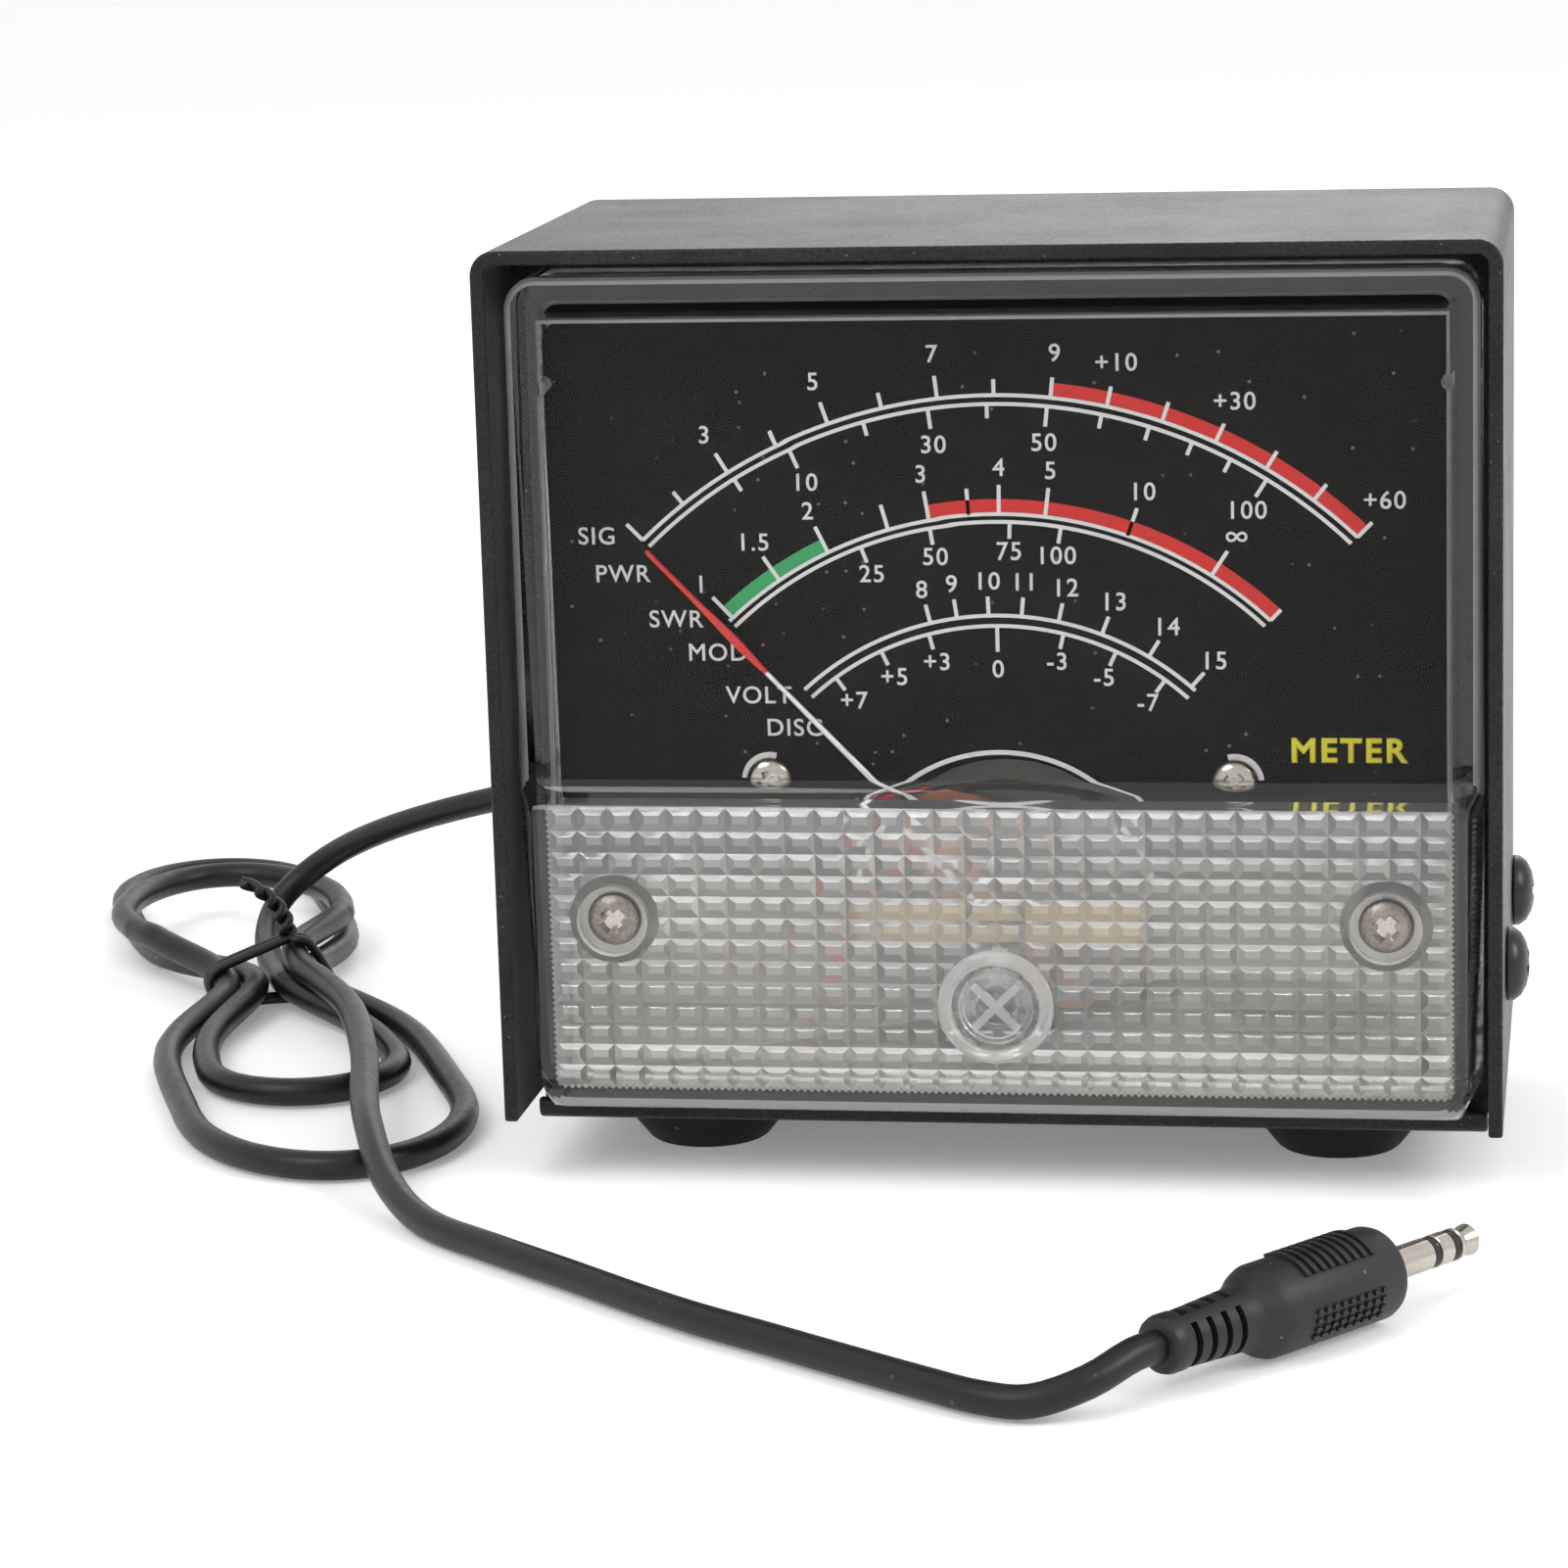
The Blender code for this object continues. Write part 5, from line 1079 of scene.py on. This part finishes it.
# The zero adjuster is a clear moulded stud: a dished head with crossed ribs in front and an offset pin
# behind, turned and joined, that rides on its own body in the window's seat.
ADJUSTER_PROFILE = (
    (0.0, -0.0238), (0.0022, -0.0238), (0.0024, -0.0240), (0.0024, -0.0271), (0.0042, -0.0271),
    (0.00435, -0.0273), (0.00435, -0.0276), (0.0042, -0.0278), (0.0037, -0.0278), (0.0036, -0.0274),
    (0.0021, -0.0274), (0.0020, -0.0258), (0.0, -0.0258),
)
ADJUSTER_RIB = (0.0073, 0.0009, 0.0010)
ADJUSTER_RIB_Y = -0.0268
ADJUSTER_PIN = 0.0007
ADJUSTER_PIN_SPAN = (-0.0227, -0.0240)
ADJUSTER_THROW = 0.0012
ADJUSTER_STEPS = 56
ADJUSTER_PIN_STEPS = 20
ADJUSTER_CRISP = 30.0
adjuster = make_piece(
    "adjuster_stud",
    turned(ADJUSTER_PROFILE, (0.0, 0.0, ADJUSTER_Z), (0.0, 1.0, 0.0), ADJUSTER_STEPS),
    clear_stud,
    "clear_plastic",
    "zero_adjuster",
    body="adjuster",
)
pin = bmesh.new()
rod(pin, ADJUSTER_PIN, ADJUSTER_PIN_SPAN, 0.0, ADJUSTER_Z - ADJUSTER_THROW, ADJUSTER_PIN_STEPS)
carve(adjuster, pin, "UNION")
ribs = cross_tool((0.0, ADJUSTER_RIB_Y, ADJUSTER_Z), FORWARD, math.pi / 4, ADJUSTER_RIB)
paint(ribs.faces, 1)
adjuster.data.materials.append(clear_slope)
carve(adjuster, ribs, "UNION")
soften(adjuster, ADJUSTER_CRISP)

# The lead is one round sheathed cord from the grommet in the rear panel, tied in a hank of long loops,
# then along the floor to the plug. It is drawn as one smooth line with a round section.
CORD_RADIUS = 0.00175
CORD_Z = 0.00185
HANK_PLACE = Vector((-0.107, 0.051, 0.0))
HANK_TURN = math.radians(-68.0)
HANK_STEP = 0.0048
HANK_RADIUS = 0.0106
HANK_WAIST = 0.018
HANK_REACH = (0.050, 0.074, 0.083, 0.056)
HANK_LAYER = 0.0043
HANK_LIFT = 0.0016
HANK_ENTRY = 0.014
HANK_EXIT = 0.014
HANK_LEAVE = 0.0052
HANK_RUNS = (0.00185, -0.00185, 0.0055, -0.0055, 0.0037)
HANK_NEST = 0.0032
HANK_LOBE_STEPS = 36
HANK_CLIMB_SHARE = 0.25
LEAD_STRAIGHT = 0.0035
LEAD_TUCK = 0.0005
CORD_EXIT = Vector((-0.030, 0.0378, 0.031))
REAR_ROUTE = (
    (-0.030, 0.0422, 0.031), (-0.0340, 0.0500, 0.0308), (-0.0440, 0.0570, 0.0302),
    (-0.0580, 0.0620, 0.0290), (-0.0720, 0.0670, 0.0262), (-0.0860, 0.0725, 0.0222),
    (-0.0980, 0.0790, 0.0175), (-0.1070, 0.0845, 0.0125), (-0.1132, 0.0840, 0.0075),
    (-0.1144, 0.0785, 0.0040),
)
FRONT_ROUTE = (
    (-0.0895, 0.0264, 0.0063), (-0.0824, 0.0049, 0.0061), (-0.0780, -0.0128, 0.0061),
    (-0.0741, -0.0263, 0.0061), (-0.0689, -0.0393, 0.0036), (-0.0622, -0.0495, CORD_Z),
    (-0.0520, -0.0590, CORD_Z), (-0.0420, -0.0675, CORD_Z), (-0.0328, -0.0755, CORD_Z),
    (-0.0254, -0.0815, CORD_Z), (-0.0165, -0.0877, CORD_Z), (-0.0077, -0.0940, CORD_Z),
    (0.0009, -0.1000, CORD_Z), (0.0072, -0.1040, CORD_Z), (0.0125, -0.1055, 0.0021),
    (0.0180, -0.1036, 0.0036),
)
PLUG_START = Vector((0.0242, -0.0967, 0.0051))
PLUG_TURN = math.radians(52.0)
CORD_BLACK = (0.005, 0.005, 0.005)
CORD_WORN = (0.010, 0.0097, 0.0094)
along = Vector((math.cos(HANK_TURN), math.sin(HANK_TURN), 0.0))
aside = Vector((-math.sin(HANK_TURN), math.cos(HANK_TURN), 0.0))
plug_way = Vector((math.cos(PLUG_TURN), math.sin(PLUG_TURN), 0.0))


def waist_point(reach_along, offset, rise):
    """A point by its distance along, across and above the hank's waist."""
    return HANK_PLACE + along * reach_along + aside * offset + Vector((0.0, 0.0, rise))


def hank_point(reach_along, offset, layer, drawn_to):
    """A point of the hank from its waist, where the tie draws the runs side by side."""
    waist = math.exp(-(reach_along / HANK_WAIST) ** 2)
    gathered = offset + (drawn_to - offset) * waist
    rise = CORD_Z + HANK_LIFT * waist + layer * (HANK_LAYER + (HANK_NEST - HANK_LAYER) * waist)
    return waist_point(reach_along, gathered, rise)


def hank_lobe(index):
    """Half a turn: out along one run, round the end and back to the waist."""
    way = 1 if index % 2 == 0 else -1
    stretch = (HANK_RADIUS + HANK_STEP * (index + 0.5) / 2) / HANK_RADIUS
    straight = HANK_REACH[index] - stretch * (HANK_RADIUS + HANK_STEP * index / 2)
    rows = []
    for count in range(1, HANK_LOBE_STEPS + 1):
        share = count / HANK_LOBE_STEPS
        span = HANK_RADIUS + HANK_STEP * (index + share) / 2
        layer = 0.0
        if index == len(HANK_REACH) - 1:
            climbed = max(0.0, share - HANK_CLIMB_SHARE) / (1 - HANK_CLIMB_SHARE)
            span = HANK_RADIUS + HANK_STEP * (index - 2 * climbed) / 2
            layer = min(1.0, share / HANK_CLIMB_SHARE)
        if share <= 1 / 3:
            rows.append((way * straight * share * 3, way * span, layer, HANK_RUNS[index]))
        elif share < 2 / 3:
            angle = math.pi * (share - 1 / 3) * 3
            reach_out = way * (straight + stretch * span * math.sin(angle))
            rows.append((reach_out, way * span * math.cos(angle), layer, HANK_RUNS[index]))
        else:
            rows.append((way * straight * (1 - share) * 3, -way * span, layer, HANK_RUNS[index + 1]))
    return rows


def smooth_line(route, steps):
    """Points on a smooth line through a route's own points."""
    ends = [route[0] * 2 - route[1]] + route + [route[-1] * 2 - route[-2]]
    line = []
    for first, start, stop, last in zip(ends, ends[1:], ends[2:], ends[3:]):
        for step in range(steps):
            t = step / steps
            line.append(0.5 * (2 * start + (stop - first) * t
                               + (2 * first - 5 * start + 4 * stop - last) * t * t
                               + (3 * start - first - 3 * stop + last) * t ** 3))
    line.append(route[-1])
    return line


def round_line(name, points, radius, look, slot, *replaced):
    """A round cord along a line of points, as a curve."""
    curve = bpy.data.curves.new(name, "CURVE")
    curve.dimensions = "3D"
    curve.bevel_depth = radius
    curve.bevel_resolution = 5
    curve.use_fill_caps = True
    spline = curve.splines.new("POLY")
    spline.points.add(len(points) - 1)
    for place, point in zip(spline.points, points):
        place.co = (*point, 1.0)
    spline.use_smooth = True
    curve.materials.append(look)
    return dress(bpy.data.objects.new(name, curve), replaced, "case")


cord_black = grained(
    "cord_black", CORD_BLACK, CORD_WORN,
    scale=900.0, rough=0.34, spread=0.14, bump=0.06, shine=0.35, dust_and_glint=0.3, speck=250.0)
hank_rows = [(-HANK_ENTRY, HANK_RUNS[0], 0.0, HANK_RUNS[0]), (0.0, HANK_RUNS[0], 0.0, HANK_RUNS[0])]
for index in range(len(HANK_REACH)):
    hank_rows += hank_lobe(index)
hank_rows += [(HANK_EXIT / 2, HANK_RUNS[-1], 1.0, HANK_RUNS[-1]), (HANK_EXIT, HANK_LEAVE, 1.0, HANK_LEAVE)]
lead_route = [CORD_EXIT] + [Vector(point) for point in REAR_ROUTE]
lead_route += [hank_point(*row) for row in hank_rows] + [Vector(point) for point in FRONT_ROUTE]
lead_route += [PLUG_START - plug_way * LEAD_STRAIGHT, PLUG_START + plug_way * LEAD_TUCK]
lead_line = smooth_line(lead_route, 4)
lead = round_line(
    "signal_lead", lead_line, CORD_RADIUS, cord_black, "cord_black", "lead_rear", "lead_hank", "lead_front")

# The plug is a moulded black body with a slotted strain relief, grip ribs above and small square studs
# below, on a nickel three-pole shaft turned in a sleeve, a ring and a tip with black washers between.
PLUG_BODY_PROFILE = (
    (0.0, 0.0), (0.0024, 0.0), (0.0029, 0.0003), (0.0031, 0.0009), (0.0031, 0.0024),
    (0.0029, 0.0027), (0.0030, 0.0034), (0.0034, 0.0118), (0.0037, 0.0126), (0.0047, 0.0143),
    (0.0050, 0.0152), (0.0050, 0.0322), (0.0048, 0.0328), (0.0044, 0.0330), (0.0, 0.0330),
)
PLUG_SLEEVE = 0.0333
PLUG_SHAFT = 0.00175
PLUG_WASHER = 0.00170
PLUG_SLEEVE_LENGTH = 0.0078
PLUG_RING_LENGTH = 0.0020
PLUG_WASHER_LENGTH = 0.0010
PLUG_STEPS = 64
SHAFT_STEPS = 48
PLUG_ROUND = 0.0001
PLUG_GAP = 0.0001
PLUG_TIP_PROFILE = (
    (0.0, 0.0), (0.00165, 0.0), (PLUG_SHAFT, 0.0001), (PLUG_SHAFT, 0.0003), (0.00126, 0.0011),
    (0.00130, 0.0013), (0.00168, 0.0022), (0.00172, 0.0026), (0.0014, 0.0030), (0.0008, 0.0034),
    (0.0, 0.0035),
)
RELIEF_SLOTS = (0.0028, 0.0049, 0.0070, 0.0091)
RELIEF_SLOT_WIDTH = 0.0008
RELIEF_RADII = (0.0019, 0.0060)
RELIEF_ARCS = ((-72.0, 48.0, 12), (72.0, 228.0, 12))
RIB_PITCH = 0.00125
RIB_COUNT = 9
RIB_START = 0.0185
RIB_WIDTH = 0.0006
RIB_RADII = (0.0047, 0.00535)
RIB_ARCS = ((46.0, 116.0, 10), (226.0, 254.0, 6))
STUD_RADII = (0.0047, 0.00530)
STUD_ARCS = ((-34.0, -28.0, 1), (-23.0, -17.0, 1), (-12.0, -6.0, 1), (-1.0, 5.0, 1))
MOULD_BLACK = (0.007, 0.007, 0.007)
MOULD_WORN = (0.015, 0.0145, 0.014)
plug_right = Vector((math.sin(PLUG_TURN), -math.cos(PLUG_TURN), 0.0))


def ring_pieces(shape, radii, near, width, arcs):
    """Pieces of a ring about the plug's axis, between angles counted from the right upwards."""
    inner, rim = radii
    for start, stop, steps in arcs:
        angle = math.radians(start)
        outward = plug_right * math.cos(angle) + Vector((0.0, 0.0, math.sin(angle)))
        corners = [
            PLUG_START + outward * radius + plug_way * distance
            for radius, distance in ((inner, near), (rim, near), (rim, near + width), (inner, near + width))
        ]
        face = shape.faces.new([shape.verts.new(corner) for corner in corners])
        bmesh.ops.spin(
            shape,
            geom=[face] + list(face.edges) + list(face.verts),
            cent=PLUG_START,
            axis=-plug_way,
            angle=math.radians(stop - start),
            steps=steps,
        )


def shaft_profile(radius, length):
    """A plain length of the shaft, its two rims slightly rounded."""
    return (
        (0.0, 0.0), (radius - PLUG_ROUND, 0.0), (radius, PLUG_ROUND), (radius, length - PLUG_ROUND),
        (radius - PLUG_ROUND, length), (0.0, length),
    )


mould_black = grained(
    "mould_black", MOULD_BLACK, MOULD_WORN,
    scale=700.0, rough=0.40, spread=0.15, bump=0.25, shine=0.4, dust_and_glint=0.5, speck=500.0)
plug_moulding = make_piece(
    "plug_moulding",
    turned(PLUG_BODY_PROFILE, PLUG_START, plug_way, PLUG_STEPS),
    mould_black,
    "mould_black",
    "plug_body",
)
slots = bmesh.new()
for reach in RELIEF_SLOTS:
    ring_pieces(slots, RELIEF_RADII, reach, RELIEF_SLOT_WIDTH, RELIEF_ARCS)
bmesh.ops.recalc_face_normals(slots, faces=slots.faces)
carve(plug_moulding, slots, "DIFFERENCE")
grips = bmesh.new()
for count in range(RIB_COUNT):
    rib = RIB_START + RIB_PITCH * count
    ring_pieces(grips, RIB_RADII, rib, RIB_WIDTH, RIB_ARCS)
    ring_pieces(grips, STUD_RADII, rib, RIB_WIDTH, STUD_ARCS)
bmesh.ops.recalc_face_normals(grips, faces=grips.faces)
carve(plug_moulding, grips, "UNION")
soften(plug_moulding, TURNED_CRISP)
reach = PLUG_SLEEVE
washer_profile = shaft_profile(PLUG_WASHER, PLUG_WASHER_LENGTH)
for piece_name, replaced, profile, look, slot in (
    ("plug_shank", "plug_sleeve", shaft_profile(PLUG_SHAFT, PLUG_SLEEVE_LENGTH), nickel, "nickel"),
    ("plug_washer_rear", "plug_insulator_rear", washer_profile, mould_black, "mould_black"),
    ("plug_band", "plug_ring", shaft_profile(PLUG_SHAFT, PLUG_RING_LENGTH), nickel, "nickel"),
    ("plug_washer_front", "plug_insulator_front", washer_profile, mould_black, "mould_black"),
    ("plug_point", "plug_tip", PLUG_TIP_PROFILE, nickel, "nickel"),
):
    start = PLUG_START + plug_way * reach
    turned_piece(piece_name, profile, start, plug_way, SHAFT_STEPS, look, slot, replaced)
    reach += profile[-1][1] + PLUG_GAP

# A plastic-sheathed tie wire is wound twice round the hank's waist, its ends twisted up and standing.
# The rubber grommet that the lead leaves by is turned with rings, and grips the sheet of the rear panel.
TIE_RADIUS = 0.0006
TIE_PITCH = 0.0017
TIE_TURNS = 2
TIE_LOOP = (
    (0.0029, 0.00896), (-0.0017, 0.00740), (-0.0063, 0.00576), (-0.0076, 0.00472), (-0.00795, 0.00345),
    (-0.00723, 0.00172), (-0.0055, 0.0010), (0.0, 0.0010), (0.0055, 0.0010), (0.00723, 0.00172),
    (0.00795, 0.00345), (0.00764, 0.00465), (0.00584, 0.00785), (0.0049, 0.0088), (0.0038, 0.0091),
)
TIE_TAIL = 0.0105
TIE_TAIL_STEPS = 26
TIE_TWISTS = 2.5
TIE_TWIST_RADIUS = 0.00066
TIE_LEAN = 0.55
TIE_SINK = 0.4
GROMMET_PROFILE = (
    (0.0018, -0.0126), (0.0042, -0.0126), (0.0044, -0.0123), (0.0044, -0.0108), (0.0034, -0.0106),
    (0.0034, -0.0092), (0.0050, -0.0090), (0.0052, -0.0087), (0.0052, -0.0076), (0.0049, -0.0072),
    (0.0040, -0.0070), (0.0036, -0.0062), (0.0038, -0.0055), (0.0034, -0.0047), (0.0035, -0.0040),
    (0.0031, -0.0032), (0.0032, -0.0024), (0.0029, -0.0016), (0.0029, -0.0004), (0.0027, 0.0),
    (0.0018, 0.0), (0.0018, -0.0126),
)


def tie_tail(phase):
    """One end of the tie: up from the bundle, wound about the other end and leaning over."""
    rows = []
    for step in range(1, TIE_TAIL_STEPS + 1):
        share = step / TIE_TAIL_STEPS
        turn = phase + math.tau * TIE_TWISTS * share
        lean = TIE_TAIL * TIE_LEAN * share ** 2
        rows.append(waist_point(
            TIE_TWIST_RADIUS * math.cos(turn),
            TIE_LOOP[0][0] - lean + TIE_TWIST_RADIUS * math.sin(turn),
            TIE_LOOP[0][1] + TIE_TAIL * share - lean * TIE_SINK,
        ))
    return rows


tie_places = []
for turn in range(TIE_TURNS):
    for step, (offset, rise) in enumerate(TIE_LOOP):
        forward = (turn + step / len(TIE_LOOP) - TIE_TURNS / 2) * TIE_PITCH
        tie_places.append(waist_point(forward, offset, rise))
tie_route = list(reversed(tie_tail(math.pi))) + tie_places + tie_tail(0.0)
tie = round_line("tie_wire", smooth_line(tie_route, 4), TIE_RADIUS, mould_black, "cord_black", "twist_tie")
turned_piece(
    "lead_grommet",
    GROMMET_PROFILE,
    CORD_EXIT,
    (0.0, 1.0, 0.0),
    48,
    foot_rubber,
    "foot_rubber",
    "cable_grommet",
)

# Two thin sleeved wires run behind the movement, from the terminal studs down to the grommet.
# A third, red as the first, runs from the yoke's face past the bridge's leg to the tray's floor, and shows
# through the pressed front of the window. Each is a smooth round line.
WIRE_RADIUS = 0.0006
STUD_X = 0.016
STUD_Z = 0.0704
WIRE_DROP = 0.012
WIRE_RISE = 0.0015
WIRE_SPACING = 0.0036
WIRE_Y = 0.0165
WIRE_END_Y = 0.0250
TRAY_WIRE_ROUTE = (
    (-0.0089, -0.0128, 0.0422), (-0.0112, -0.0129, 0.0397), (-0.0142, -0.0131, 0.0372),
    (-0.0169, -0.0132, 0.0346), (-0.0186, -0.0130, 0.0312), (-0.0200, -0.0120, 0.0274),
    (-0.0215, -0.0100, 0.0240), (-0.0232, -0.0068, 0.0214), (-0.0246, -0.0024, 0.0199),
    (-0.0252, 0.0014, 0.0194), (-0.0253, 0.0037, 0.0193),
)
WIRE_RED = (0.84, 0.016, 0.018)
WIRE_RED_WORN = (0.74, 0.013, 0.014)


def hang_wire(name, route, steps, look, slot, *replaced):
    """A thin wire through a route's points, drawn as a round cord that ends inside the object."""
    wire_line = smooth_line([Vector(point) for point in route], steps)
    wire = round_line(name, wire_line, WIRE_RADIUS, look, slot, *replaced)


wire_red = grained("wire_red", WIRE_RED, WIRE_RED_WORN, scale=900.0, rough=0.40, spread=0.10, bump=0.05)
for side, hand, look, slot in ((-1, "red", wire_red, "wire_red"), (1, "black", cord_black, "cord_black")):
    start_x = side * STUD_X
    stop_x = CORD_EXIT.x + side * WIRE_SPACING / 2
    wire_route = (
        (start_x, WIRE_Y, STUD_Z),
        (start_x, WIRE_Y, STUD_Z - WIRE_DROP),
        ((start_x + stop_x) / 2, WIRE_Y, (STUD_Z + CORD_EXIT.z) / 2),
        (stop_x, WIRE_Y, CORD_EXIT.z + WIRE_DROP),
        (stop_x, (WIRE_Y + WIRE_END_Y) / 2, CORD_EXIT.z + WIRE_RISE),
        (stop_x, WIRE_END_Y, CORD_EXIT.z),
    )
    hang_wire("hookup_wire_" + hand, wire_route, 8, look, slot, "inner_wire_" + hand)
hang_wire("tray_wire_red", TRAY_WIRE_ROUTE, 6, wire_red, "wire_red")
